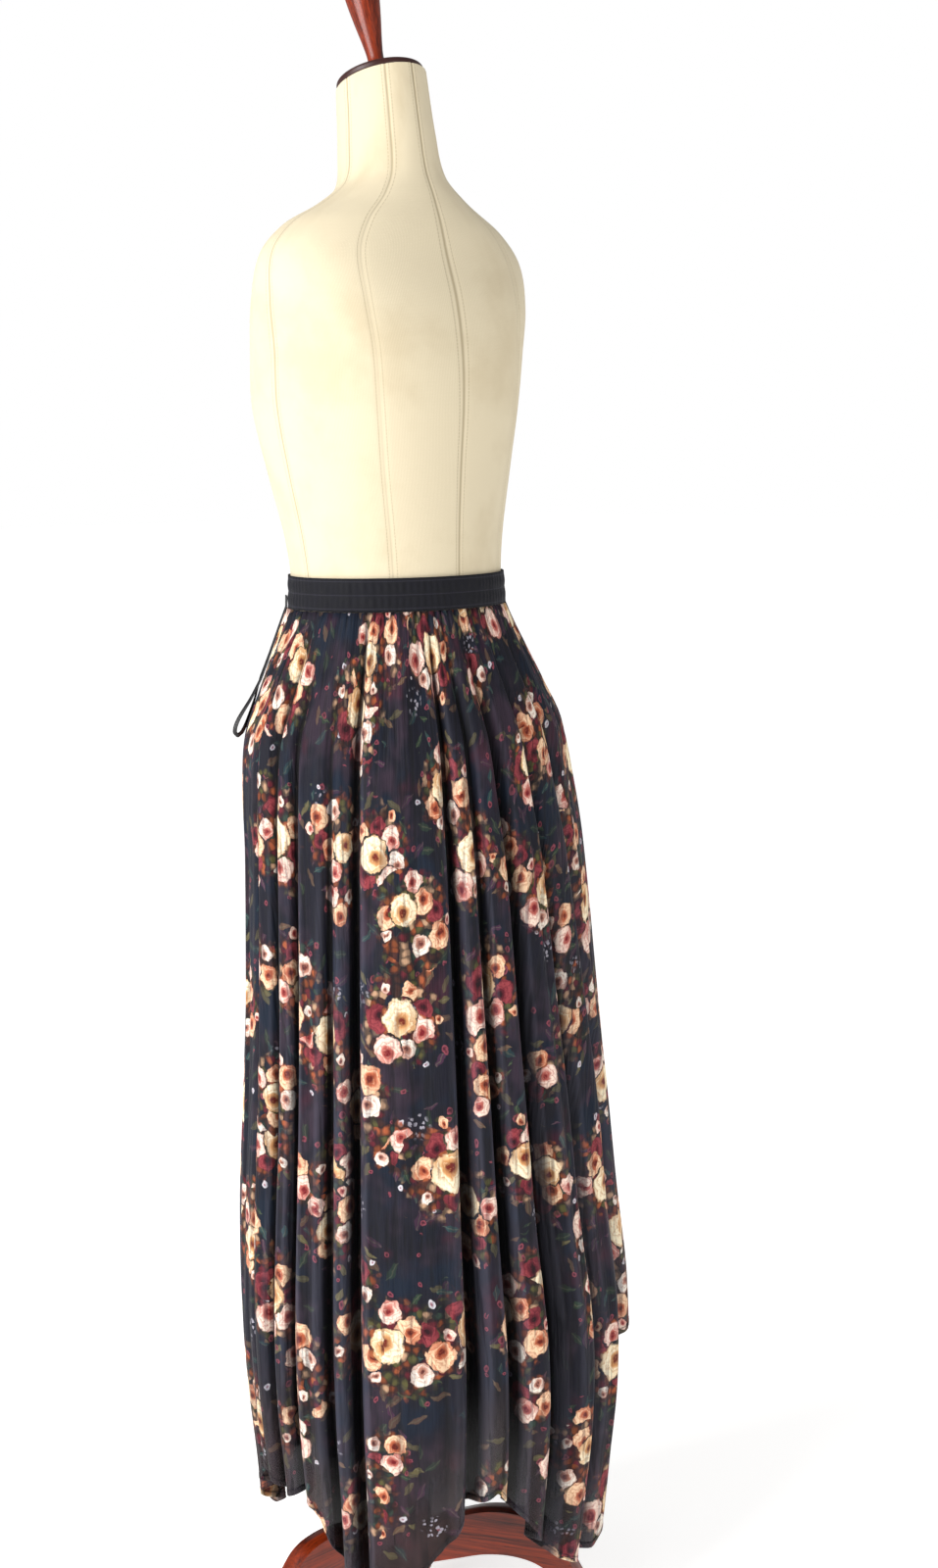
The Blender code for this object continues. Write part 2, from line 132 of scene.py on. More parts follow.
# Finer creases between them, from a height down to another
FINE_CREASES = (
    # azimuth, half_width, depth, top, bottom
    (3.0, 2.0, 0.0030, 0.90, 0.30),
    (13.5, 2.0, 0.0034, 0.60, 0.02),
    (26.0, 2.2, 0.0036, 1.02, 0.40),
    (38.0, 2.0, 0.0030, 0.75, 0.05),
    (51.0, 2.4, 0.0040, 1.06, 0.10),
    (57.5, 2.0, 0.0030, 0.62, 0.02),
    (68.5, 1.8, 0.0034, 0.98, 0.15),
    (80.0, 2.0, 0.0040, 1.04, 0.35),
    (84.5, 1.8, 0.0030, 0.55, 0.02),
    (93.5, 1.6, 0.0028, 0.95, 0.40),
    (101.0, 1.6, 0.0032, 0.88, 0.10),
    (111.0, 2.0, 0.0042, 1.05, 0.18),
    (120.8, 1.5, 0.0030, 0.70, 0.02),
    (130.5, 1.8, 0.0026, 0.62, 0.08),
    (136.0, 1.6, 0.0022, 0.42, 0.02),
    (142.5, 1.8, 0.0026, 0.98, 0.50),
    (148.0, 1.7, 0.0030, 0.66, 0.02),
    (160.2, 1.6, 0.0034, 0.92, 0.12),
    (169.5, 1.8, 0.0036, 1.03, 0.05),
    (182.5, 1.8, 0.0034, 0.85, 0.02),
    (187.5, 1.7, 0.0040, 1.04, 0.25),
    (200.0, 1.9, 0.0038, 0.90, 0.02),
    (205.0, 1.6, 0.0030, 0.58, 0.02),
    (218.5, 2.0, 0.0036, 1.00, 0.30),
    (224.5, 2.0, 0.0030, 0.80, 0.30),
    (245.0, 2.0, 0.0036, 0.95, 0.02),
    (256.5, 1.8, 0.0034, 0.74, 0.10),
    (267.0, 1.6, 0.0030, 0.92, 0.30),
    (274.5, 1.8, 0.0034, 1.02, 0.20),
    (288.0, 2.0, 0.0038, 0.85, 0.02),
    (300.5, 1.8, 0.0034, 1.03, 0.30),
    (314.0, 2.2, 0.0040, 0.95, 0.02),
    (328.0, 2.0, 0.0034, 0.70, 0.02),
    (341.5, 2.0, 0.0038, 1.02, 0.10),
    (355.5, 1.9, 0.0032, 0.78, 0.02),
)
GATHERS, SMALL_GATHERS = 28, 86

HEM = (
    # azimuth, height
    (8.0, 0.125),
    (20.0, 0.175),
    (36.0, 0.205),
    (53.0, 0.146),
    (61.0, 0.130),
    (73.0, 0.172),
    (88.0, 0.222),
    (97.0, 0.202),
    (106.0, 0.213),
    (113.5, 0.200),
    (117.5, 0.145),
    (128.0, 0.092),
    (136.0, 0.125),
    (144.0, 0.166),
    (151.0, 0.200),
    (160.0, 0.236),
    (166.0, 0.209),
    (174.0, 0.166),
    (182.0, 0.128),
    (190.0, 0.112),
    (200.0, 0.113),
    (206.0, 0.128),
    (209.5, 0.200),
    (212.0, 0.328),
    (222.0, 0.340),
    (228.0, 0.328),
    (231.0, 0.205),
    (241.0, 0.145),
    (250.0, 0.115),
    (262.0, 0.165),
    (272.0, 0.215),
    (281.0, 0.240),
    (290.0, 0.222),
    (300.0, 0.165),
    (310.0, 0.120),
    (320.0, 0.165),
    (330.0, 0.205),
    (340.0, 0.220),
    (352.0, 0.175),
)
PANELS = {
    # piece: CAD node, first azimuth, last azimuth, the azimuth its print is drawn from
    "skirt_front_cloth": ("skirt_front", SEAM_RIGHT - 360.0, SEAM_LEFT, 20.0),
    "skirt_back_cloth": ("skirt_back", SEAM_LEFT, SEAM_RIGHT, 142.0),
}
PRINT_SLIP = 0.37  # how far on along the cloth the front was cut
CREASE_REACH = 3  # columns each side that a crease is measured against, for its painted shade and highlight
HEM_SAMPLES = 200  # places along a hem where its lowest point is looked for
HEM_DROP = 0.0004  # that the turned hem hangs below the panel
HEM_EXTRA_THICKNESS = 0.0006
SIDE_SEAMS = {"side_seam_left": SEAM_LEFT, "side_seam_right": SEAM_RIGHT}
SEAM_DEPTH = 0.0085
SEAM_STITCH_ROWS = (0.0012, 0.0052)  # distances in from its outer edge
SEAM_INSET = 0.0006  # of a seam allowance's outer edge behind the cloth's face
SEAM_CLEARANCE = 0.0020  # that it keeps from the form

# The print, charted as three bouquets, which are turned, sized and set out by chance.
# Each rose lies over the ones before it; tones are numbers from 0 to 1 that ROSE_TONES explains
CREAM, PEACH, BLUSH, BURGUNDY, WHITE = 0.1, 0.3, 0.5, 0.7, 0.9
ROUND_BOUQUET = (
    # across, up, radius, tone
    (0.017, -0.013, 0.0150, BURGUNDY),
    (-0.015, 0.019, 0.0115, BURGUNDY),
    (-0.024, 0.004, 0.0130, BLUSH),
    (0.006, 0.024, 0.0105, PEACH),
    (0.001, 0.000, 0.0195, CREAM),
    (-0.021, -0.018, 0.0105, WHITE),
    (-0.006, -0.030, 0.0155, BLUSH),
    (0.028, 0.013, 0.0055, WHITE),
    (-0.034, 0.021, 0.0055, PEACH),
)
LONG_BOUQUET = (
    # across, up, radius, tone
    (0.022, 0.008, 0.0110, BURGUNDY),
    (0.012, 0.028, 0.0140, PEACH),
    (-0.009, 0.022, 0.0110, WHITE),
    (0.017, -0.006, 0.0125, PEACH),
    (-0.020, -0.020, 0.0125, PEACH),
    (0.021, -0.026, 0.0110, BLUSH),
    (-0.003, -0.014, 0.0165, CREAM),
    (-0.031, -0.008, 0.0055, WHITE),
    (0.030, 0.025, 0.0060, BLUSH),
)
SMALL_BOUQUET = (
    # across, up, radius, tone
    (-0.012, 0.006, 0.0110, BURGUNDY),
    (0.012, -0.009, 0.0125, PEACH),
    (0.004, 0.010, 0.0130, BLUSH),
    (-0.009, -0.012, 0.0080, WHITE),
)
BOUQUET_REACH = 0.060  # as far as the largest one comes from its middle
SAME_REACH = 0.045  # to which every bouquet's edge is brought when reaches are compared
FILLER_SIZE = 0.0085
SPRAY_SPACING = 0.075
DROPS = (
    # bouquet, spacing, offset across, offset up, its columns' lean in degrees, seed
    (SMALL_BOUQUET, 0.158, 0.41, 0.17, 62.0, 23.0),
    (ROUND_BOUQUET, 0.168, 0.13, 0.31, 14.0, 3.0),
    (LONG_BOUQUET, 0.176, 0.63, 0.81, -27.0, 11.0),
)

# Waistband
BAND_HEIGHT = 0.034
BAND_THICKNESS = 0.0026
BAND_CLEARANCE = 0.0006
BAND_RIB_DEPTH = 0.0008
BAND_PUCKER = 0.0016  # between the rows of stitches, where the elastic draws it up
BAND_STITCH_ROWS = (0.0032, 0.0170, 0.0308)  # heights above its lower edge
BAND_CUT = (0.95, 0.036)  # length and height, before the elastic draws it up
BAND_INSET = 0.0009  # of its face between the puckers
BAND_LAYER = BAND_THICKNESS - 0.0007

# Hanger loops
LOOPS = {
    # piece: CAD node, azimuth
    "hanger_ribbon_left": ("hanger_loop_left", 57.0),
    "hanger_ribbon_right": ("hanger_loop_right", 303.0),
}
LOOP_RADIUS = 0.0011
LOOP_WIDTH, LOOP_THICKNESS = 0.0048, 0.0006
LOOP_STEPS = 80  # down each strand
LOOP_TURNS_FROM, LOOP_TURNS_WITHIN = 0.085, 0.062  # how far down it turns outward
LOOP_TOP = WAIST_HEIGHT + 0.012
LOOP_ROUTE = (
    # down, half_spread, stand_off
    (0.000, 0.0030, 0.0000),
    (0.024, 0.0034, 0.0006),
    (0.064, 0.0046, 0.0012),
    (0.106, 0.0064, 0.0034),
    (0.130, 0.0070, 0.0072),
    (0.143, 0.0044, 0.0094),
    (0.147, 0.0000, 0.0098),
)

# Dress form
FORM_SECTIONS = (
    # height, half_width, half_depth, set_back, squareness, lean
    (0.830, 0.1560, 0.1120, 0.0200, 2.1, 0.0),
    (0.870, 0.1640, 0.1180, 0.0200, 2.1, 0.0),
    (0.930, 0.1680, 0.1200, 0.0180, 2.1, 0.0),
    (0.990, 0.1630, 0.1150, 0.0140, 2.1, 0.0),
    (1.050, 0.1490, 0.1080, 0.0090, 2.1, 0.0),
    (1.105, 0.1290, 0.0990, 0.0050, 2.0, 0.0),
    (1.150, 0.1220, 0.0955, 0.0040, 2.0, 0.0),
    (1.200, 0.1260, 0.0985, 0.0010, 2.0, 0.0),
    (1.270, 0.1380, 0.1080, -0.0050, 2.1, 0.0),
    (1.335, 0.1480, 0.1170, -0.0090, 2.2, 0.0),
    (1.390, 0.1530, 0.1120, -0.0050, 2.3, 0.0),
    (1.440, 0.1620, 0.0980, 0.0010, 2.3, 0.0),
    (1.485, 0.1610, 0.0800, 0.0050, 2.2, 0.0),
    (1.515, 0.1340, 0.0700, 0.0060, 2.1, 2.0),
    (1.538, 0.0900, 0.0620, 0.0040, 2.0, 6.0),
    (1.560, 0.0600, 0.0540, 0.0010, 2.0, 11.0),
    (1.600, 0.0510, 0.0500, -0.0040, 2.0, 17.0),
    (1.662, 0.0465, 0.0465, -0.0110, 2.0, 17.0),
)
NECK_LEAN = math.radians(FORM_SECTIONS[-1][5])
COVER_SEAMS = (0.0, 40.0, 90.0, 143.0, 180.0, 217.0, 270.0, 320.0)
COVER_SEAM_DEPTH = 0.0009
COVER_INSET = 0.0001  # of its face within the form
COVER_TUCK, COVER_TUCK_HEIGHT = 0.004, 0.008  # that its lower edge is drawn in
COVER_ROUND = 0.84  # its knit's length round the form

CAP_PROFILE = (
    # radius, height above the neck
    (0.0000, 0.0080),
    (0.0330, 0.0080),
    (0.0425, 0.0076),
    (0.0450, 0.0062),
    (0.0455, 0.0040),
    (0.0452, 0.0012),
    (0.0440, 0.0000),
    (0.0000, 0.0000),
)
CAP_HEIGHT = 0.008
FINIAL_PROFILE = (
    # radius, height above the cap
    (0.0000, 0.1200),
    (0.0090, 0.1180),
    (0.0155, 0.1110),
    (0.0185, 0.1000),
    (0.0178, 0.0840),
    (0.0145, 0.0600),
    (0.0105, 0.0360),
    (0.0085, 0.0200),
    (0.0095, 0.0120),
    (0.0135, 0.0070),
    (0.0145, 0.0030),
    (0.0140, 0.0000),
    (0.0000, 0.0000),
)

# Stand
POLE_RADIUS = 0.014
POLE_EDGE = 0.0012  # width of the bevels at its ends
HUB_BOTTOM = 0.030
HUB_PROFILE = (
    # radius, height above the hub's bottom
    (0.0000, 0.1100),
    (0.0190, 0.1100),
    (0.0225, 0.1060),
    (0.0225, 0.0980),
    (0.0185, 0.0900),
    (0.0200, 0.0780),
    (0.0270, 0.0680),
    (0.0270, 0.0060),
    (0.0220, 0.0000),
    (0.0000, 0.0000),
)
LEGS = {
    # piece: CAD node, azimuth
    "carved_leg_left": ("leg_left", 90.0),
    "carved_leg_back": ("leg_back", 210.0),
    "carved_leg_front": ("leg_front", 330.0),
}
LEG_THICKNESS = 0.026
LEG_CORNER = 0.0052  # radius of its long edges
TOE_EDGE = 0.0016  # width of the bevel at its tip
LEG_PROFILE = (
    # reach, top, bottom
    (0.0273, 0.0920, 0.0420),
    (0.0600, 0.1050, 0.0520),
    (0.0950, 0.1160, 0.0620),
    (0.1300, 0.1180, 0.0640),
    (0.1600, 0.1090, 0.0560),
    (0.1840, 0.0820, 0.0350),
    (0.2020, 0.0520, 0.0110),
    (0.2100, 0.0390, 0.0000),
    (0.2280, 0.0200, 0.0000),
    (0.2400, 0.0110, 0.0000),
)

# The camera's place about the pole and its aim
CAMERA_AZIMUTH, CAMERA_DISTANCE, CAMERA_HEIGHT = 138.0, 2.2, 1.29
CAMERA_TILT, CAMERA_YAW, CAMERA_ROLL = 9.15, 1.9934, -0.47

# The lights, from the camera's side: how far towards it, to its right and up, and their size
KEY_PLACE, KEY_SIZE = (2.0, -2.4, 2.3), 2.2
FILL_PLACE, FILL_SIZE = (2.4, 2.2, 1.6), 1.8
AIM_HEIGHT = 0.85

# How far the floor goes each way, and its glow within a metre and past four, where it has to
# meet the white surroundings
FLOOR_REACH = 30.0
FLOOR_GLOW_NEAR, FLOOR_GLOW_FAR = 0.60, 0.73


def shade(red, green, blue):
    """A colour as the eye reads it on a screen, 0 to 255, in linear light."""
    return tuple(
        v / 3294.6 if v <= 10.31 else ((v / 255.0 + 0.055) / 1.055) ** 2.4 for v in (red, green, blue)
    )


def scaled(colour, share):
    """A colour made darker, or lighter past 1."""
    return tuple(share * c for c in colour)


def colour_property(name, description, display):
    """A colour for a property group, from its 0 to 255 display values."""
    return FloatVectorProperty(
        name=name, description=description, subtype="COLOR", size=3, min=0.0, max=1.0, default=shade(*display)
    )


class SkirtSettings(PropertyGroup):
    """Sizes and colours of the skirt."""

    columns: IntProperty(
        name="Columns", description="Faces across a panel between its seams", default=372, min=60, max=380
    )
    rows: IntProperty(
        name="Rows", description="Faces from a panel's waist to its hem", default=108, min=20, max=120
    )
    cloth_thickness: FloatProperty(
        name="Cloth Thickness", description="Thickness of the mesh", default=0.0007, min=0.0002, unit="LENGTH"
    )
    hem_height: FloatProperty(
        name="Hem Height", description="Height of the turned and stitched hem", default=0.007, unit="LENGTH"
    )
    weave_pitch: FloatProperty(
        name="Mesh Pitch", description="Distance between the holes of the mesh", default=0.0011, unit="LENGTH"
    )
    sheerness: FloatProperty(
        name="Sheerness", description="How much shows through beside the hem", default=0.15, min=0.0, max=1.0,
        subtype="FACTOR",
    )
    ground: colour_property("Ground", "The dark ground of the print", (21, 21, 32))
    ground_mauve: colour_property("Mauve", "Mauve clouds in the ground", (47, 36, 48))
    ground_teal: colour_property("Teal", "Teal clouds in the ground", (17, 27, 42))
    ground_brown: colour_property("Brown", "The thinner, browner ground beside the hem", (62, 46, 38))
    thread: colour_property("Thread", "The thread of its stitches", (42, 41, 50))
    band: colour_property("Waistband", "The waistband's cloth", (13, 13, 19))
    ribbon: colour_property("Ribbon", "The hanger loops", (9, 9, 12))


class StandSettings(PropertyGroup):
    """Colours of the dress form and its stand."""

    cover: colour_property("Cover", "The jersey on the form", (212, 199, 170))
    # Used for its seams, its soiled places and the painted shade in its knit's hollows.
    cover_soil_and_shade: colour_property("Cover Shadow", "Its seams and soiled places", (186, 168, 134))
    wood_dark: colour_property("Dark Grain", "The dark lines of the stained wood", (58, 16, 8))
    wood_light: colour_property("Light Grain", "The wood between them", (150, 52, 18))
    cap: colour_property("Cap", "The painted disc on the neck", (52, 20, 16))


class StageSettings(PropertyGroup):
    """The floor, light and camera."""

    floor: colour_property("Floor", "The plain pale floor", (244, 243, 241))
    key_power: FloatProperty(
        name="Key Light", description="Power of the large light", default=154.0, unit="POWER"
    )
    fill_power: FloatProperty(
        name="Fill Light", description="Power of the small light", default=30.0, unit="POWER"
    )
    sky: FloatProperty(name="Sky", description="Light of the white surroundings", default=0.36, min=0.0)
    lens: FloatProperty(name="Lens", description="Focal length in millimetres", default=47.52, min=1.0)


# ---- Shapes shared with the part ------------------------------------------------------------


def direction(azimuth):
    """The level unit vector that points to an azimuth in degrees."""
    angle = math.radians(azimuth)
    return Vector((math.sin(angle), -math.cos(angle), 0.0))


def blend(rows, at):
    """A table's other columns at a value of its first, on a smooth curve through its rows."""
    rows = sorted(rows)
    if at <= rows[0][0]:
        return rows[0][1:]
    if at >= rows[-1][0]:
        return rows[-1][1:]
    i = next(n for n, row in enumerate(rows) if row[0] > at) - 1
    before, low, high, after = rows[max(i - 1, 0)], rows[i], rows[i + 1], rows[min(i + 2, len(rows) - 1)]
    span = high[0] - low[0]
    t = (at - low[0]) / span
    values = []
    for k in range(1, len(low)):
        slope_low = span * (high[k] - before[k]) / (high[0] - before[0])
        slope_high = span * (after[k] - low[k]) / (after[0] - low[0])
        values.append(
            (2 * t**3 - 3 * t**2 + 1) * low[k]
            + (t**3 - 2 * t**2 + t) * slope_low
            + (3 * t**2 - 2 * t**3) * high[k]
            + (t**3 - t**2) * slope_high
        )
    return tuple(values)


def degrees_between(azimuth, other):
    """How far one azimuth lies past another, from -180 to 180."""
    return (azimuth - other + 180.0) % 360.0 - 180.0


def ellipse_radius(azimuth, half_width, half_depth, set_back):
    """The distance from the pole to an ellipse whose middle lies set_back behind it."""
    way = direction(azimuth)
    a = (way.x / half_width) ** 2 + (way.y / half_depth) ** 2
    b = -2.0 * way.y * set_back / half_depth**2
    c = (set_back / half_depth) ** 2 - 1.0
    return (-b + math.sqrt(b * b - 4.0 * a * c)) / (2.0 * a)


@lru_cache(maxsize=None)
def skirt_section(height):
    """Half the skirt's width at a height, its depth over its width, and how far it is set back."""
    return blend(SKIRT_SECTIONS, height)


def skirt_ridge_radius(azimuth, height):
    """The distance from the pole to the skirt's outer section, over the tops of its folds."""
    half_width, depth_ratio, set_back = skirt_section(round(height, 4))
    return ellipse_radius(azimuth, half_width, half_width * depth_ratio, set_back)


def form_point(azimuth, row, clearance=0.0):
    """A point on a section of the form, a row of FORM_SECTIONS, or clear of it by a distance."""
    height, half_width, half_depth, set_back, squareness, lean = row
    way = direction(azimuth)
    power = 2.0 / squareness
    across = math.copysign(abs(way.x) ** power, way.x) * (half_width + clearance)
    along = math.copysign(abs(way.y) ** power, way.y) * (half_depth + clearance)
    return Vector((across, set_back + along, height + along * math.tan(math.radians(lean))))


# ---- The finer cloth ------------------------------------------------------------------------


def seam_calm(azimuth, reach):
    """0 on a side seam, rising to 1 a few degrees away."""
    from_seam = min(abs(degrees_between(azimuth, seam)) for seam in (SEAM_LEFT, SEAM_RIGHT))
    return 1.0 - math.exp(-((from_seam / reach) ** 2))


@lru_cache(maxsize=None)
def hem_height(azimuth):
    """The height of the hem, on straight edges between the rows of HEM, with a slight wave."""
    azimuth %= 360.0
    rows = (*((a - 360.0, z) for a, z in HEM[-1:]), *HEM, *((a + 360.0, z) for a, z in HEM[:1]))
    angle = math.radians(azimuth)
    wave = 0.0022 * noise.noise(Vector((9.0 * math.sin(angle), 9.0 * math.cos(angle), 4.0)))
    for (low, low_z), (high, high_z) in zip(rows, rows[1:]):
        if low <= azimuth <= high:
            return low_z + (high_z - low_z) * (azimuth - low) / (high - low) + wave
    raise ValueError(azimuth)


def main_folds(azimuth, down):
    """The depth of the main creases: a broad hollow with a narrow valley in it."""
    depth = 0.0
    for trough, half_width, full_depth, starts in FOLDS:
        off = abs(degrees_between(azimuth, trough)) / half_width
        if off < 1.25:
            hollow = 0.36 * math.cos(min(off, 1.0) * math.pi / 2.0) ** 2
            valley = 0.86 * math.exp(-((off / 0.30) ** 2))
            depth += full_depth * (hollow + valley) * (1.0 - math.exp(-down / (1.44 * starts + 0.05)))
    below_form = min(max((down - 0.24) / 0.30, 0.0), 1.0)
    return depth * (1.08 + 0.62 * below_form)


def fine_creases(azimuth, height):
    """The depth of the finer creases, each of which fades in and out along its length."""
    depth = 0.0
    for trough, half_width, full_depth, top, bottom in FINE_CREASES:
        off = degrees_between(azimuth, trough) / half_width
        if abs(off) < 2.2 and bottom < height < top:
            along = (height - bottom) / (top - bottom)
            fade = min(1.0, 5.0 * along + 0.35 * (bottom < 0.06), 4.0 * (1.0 - along))
            depth += full_depth * fade * math.exp(-(off**2))
    return depth


def small_gathers(azimuth, down):
    """The depth of the gathers that the waistband makes."""
    angle = math.radians(azimuth)
    wide = 0.5 - 0.5 * math.cos(GATHERS * angle + 0.65 * math.sin(6 * angle))
    drift = 1.5 * math.sin(5 * angle) + 1.1 * math.sin(9 * angle + 1.0) + 0.5 * math.sin(17 * angle)
    narrow = 0.5 - 0.5 * math.cos(SMALL_GATHERS * angle + drift)
    reach = down / 0.050
    wide_depth = 0.0045 * reach * math.exp(1.0 - reach) + 0.0010 * math.exp(-reach)
    return wide * wide_depth + narrow**1.4 * 0.0022 * math.exp(-down / 0.055)


@lru_cache(maxsize=None)
def drawn_in(azimuth, height):
    """How far every fold, crease, gather and ripple together take the cloth in."""
    down = max(WAIST_HEIGHT - height, 0.0)
    angle = math.radians(azimuth)
    round_x, round_y = math.sin(angle), math.cos(angle)
    wander = noise.noise(Vector((1.9 * round_x, 1.9 * round_y, 2.2 * height)))
    sway = 1.5 * (1.0 - math.exp(-down / 0.3)) * wander
    settled = 1.0 - math.exp(-down / 0.10)
    ripple = noise.noise(Vector((7.5 * round_x, 7.5 * round_y, 1.7 * height + 5.0)))
    fine_ripple = noise.noise(Vector((19.0 * round_x, 19.0 * round_y, 2.6 * height + 9.0)))
    above_hem = max(height - hem_height(azimuth), 0.0)
    tremble = noise.noise(Vector((26.0 * round_x, 26.0 * round_y, 6.0 * height)))
    flutter = math.exp(-above_hem / 0.09) * tremble
    return (
        main_folds(azimuth + sway, down)
        + fine_creases(azimuth + sway, height)
        + small_gathers(azimuth, down)
        + settled * (0.0028 * (ripple + 0.10) + 0.0016 * (fine_ripple + 0.10) + 0.0024 * flutter)
    )


def cloth_radius(azimuth, height):
    """The distance from the pole to the outer face of the finer cloth."""
    seam_dip = 0.0016 * (1.0 - seam_calm(azimuth, 0.9))
    taken_in = seam_calm(azimuth, 3.0) * drawn_in(azimuth, height)
    return skirt_ridge_radius(azimuth, height) - taken_in - seam_dip


def cloth_point(azimuth, height, outward=0.0):
    """A point on the outer face of the finer cloth, in the frame."""
    return STAND + direction(azimuth) * (cloth_radius(azimuth, height) + outward) + Vector((0.0, 0.0, height))


class ClothRuler:
    """Measures along a panel, so that the print lies on it without stretching."""

    AZIMUTH_STEP, HEIGHT_STEP, LOWEST = 0.5, 0.03, 0.08

    def __init__(self, start, end, drawn_from):
        self.start = start
        self.columns = round((end - start) / self.AZIMUTH_STEP)
        self.rows = math.ceil((WAIST_HEIGHT - self.LOWEST) / self.HEIGHT_STEP)
        origin = round((drawn_from - start) / self.AZIMUTH_STEP)
        self.lengths = []
        for row in range(self.rows + 1):
            height = self.LOWEST + row * self.HEIGHT_STEP
            points = [
                direction(start + n * self.AZIMUTH_STEP) * cloth_radius(start + n * self.AZIMUTH_STEP, height)
                for n in range(self.columns + 1)
            ]
            along = [0.0]
            for here, there in zip(points, points[1:]):
                along.append(along[-1] + (there - here).length)
            self.lengths.append([length - along[origin] for length in along])
        self.width = max(row[-1] - row[0] for row in self.lengths)

    def across(self, azimuth, height):
        """The distance along the cloth from the line that the print is drawn from. Where the
        gathers swallow cloth, under the waist, the print closes up with it a little."""
        column = min(max((azimuth - self.start) / self.AZIMUTH_STEP, 0.0), self.columns - 0.001)
        row = min(max((height - self.LOWEST) / self.HEIGHT_STEP, 0.0), self.rows - 0.001)
        c, r = int(column), int(row)
        s, t = column - c, row - r
        low, high = self.lengths[r], self.lengths[r + 1]
        length = (1 - t) * ((1 - s) * low[c] + s * low[c + 1]) + t * ((1 - s) * high[c] + s * high[c + 1])
        width = (1 - t) * (low[-1] - low[0]) + t * (high[-1] - high[0])
        return length * (1.0 + 0.45 * (self.width / width - 1.0))


# ---- Making pieces --------------------------------------------------------------------------


def as_mesh(name, bm, look):
    """A bmesh as a mesh with its material."""
    mesh = bpy.data.meshes.new(name)
    bm.to_mesh(mesh)
    bm.free()
    mesh.materials.append(look)
    return mesh


def link(name, data, matrix=None):
    """An object in the scene with its data, and its place if it isn't at the origin."""
    made = bpy.data.objects.new(name, data)
    if matrix is not None:
        made.matrix_world = matrix
    bpy.context.scene.collection.objects.link(made)
    return made


def add_piece(name, bm, look, replaced=(), sharp_past=None):
    """Makes a bmesh a finished piece of the object: named, dressed, and on the body. It is
    smooth but for corners past an angle in degrees, if it is given one."""
    mesh = as_mesh(name, bm, look)
    mesh.shade_smooth()
    if sharp_past is not None:
        mesh.set_sharp_from_angle(angle=math.radians(sharp_past))
    piece = link(name, mesh)
    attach(piece, BODY)
    if replaced:
        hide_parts(*replaced)
    return piece


def thicken(piece, thickness, offset=-1.0):
    """Gives an open sheet its thickness, inward from its outer face unless offset says not."""
    solidify = piece.modifiers.new("Thickness", "SOLIDIFY")
    solidify.thickness = thickness
    solidify.offset = offset
    solidify.use_even_offset = False


def mapped_grid(columns, rows, place, layers=(), closed=False):
    """A grid whose points place(u, v) puts in space, with u and v from 0 to 1. Each layer is a
    UV map's name and a function of u and v for it. A closed one is a welded tube."""
    bm = bmesh.new()
    bmesh.ops.create_grid(bm, x_segments=columns, y_segments=rows, size=1.0)
    spots = [((vertex.co.x + 1.0) / 2.0, (vertex.co.y + 1.0) / 2.0) for vertex in bm.verts]
    for name, measure in layers:
        layer = bm.loops.layers.uv.new(name)
        measured = [measure(u, v) for u, v in spots]
        for face in bm.faces:
            for loop in face.loops:
                loop[layer].uv = measured[loop.vert.index]
    for vertex, (u, v) in zip(bm.verts, spots):
        vertex.co = place(u, v)
    if closed:
        bmesh.ops.remove_doubles(bm, verts=bm.verts, dist=WELD)
    return bm


def turned(profile, steps):
    """A turned piece from its profile, a table of radius and height from the top down."""
    bm = bmesh.new()
    line = [bm.verts.new((radius, 0.0, height)) for radius, height in profile]
    edges = [bm.edges.new(pair) for pair in zip(line, line[1:])]
    bmesh.ops.spin(
        bm, geom=line + edges, cent=(0.0, 0.0, 0.0), axis=(0.0, 0.0, 1.0), dvec=(0.0, 0.0, 0.0),
        angle=2.0 * math.pi, steps=steps, use_merge=True, use_duplicate=False,
    )
    bmesh.ops.remove_doubles(bm, verts=bm.verts, dist=WELD)
    bmesh.ops.recalc_face_normals(bm, faces=bm.faces)
    put_in_order(bm)
    return bm


def put_in_order(bm):
    """Orders edges and faces by their points, since a turned piece's come in another each run."""
    bm.verts.index_update()
    for parts in (bm.edges, bm.faces):
        ordered = sorted(parts, key=lambda part: sorted(vertex.index for vertex in part.verts))
        for n, part in enumerate(ordered):
            part.index = n
        parts.sort()


def rounded(profile, steps):
    """A profile with more points, on smooth curves where it isn't a flat end."""
    inner = profile[1:-1]
    rows = [(n, radius, height) for n, (radius, height) in enumerate(inner)]
    finer = [blend(rows, n / steps) for n in range((len(inner) - 1) * steps + 1)]
    return (profile[0], *finer, profile[-1])


def store_grain(bm, measure=lambda co: (co.z, co.x, co.y)):
    """Keeps each point's place along and across the wood's grain as an attribute. The grain of
    what isn't measured otherwise stands upright."""
    layer = bm.verts.layers.float_vector.new("grain")
    for vertex in bm.verts:
        vertex[layer] = measure(vertex.co)


# ---- Materials ------------------------------------------------------------------------------


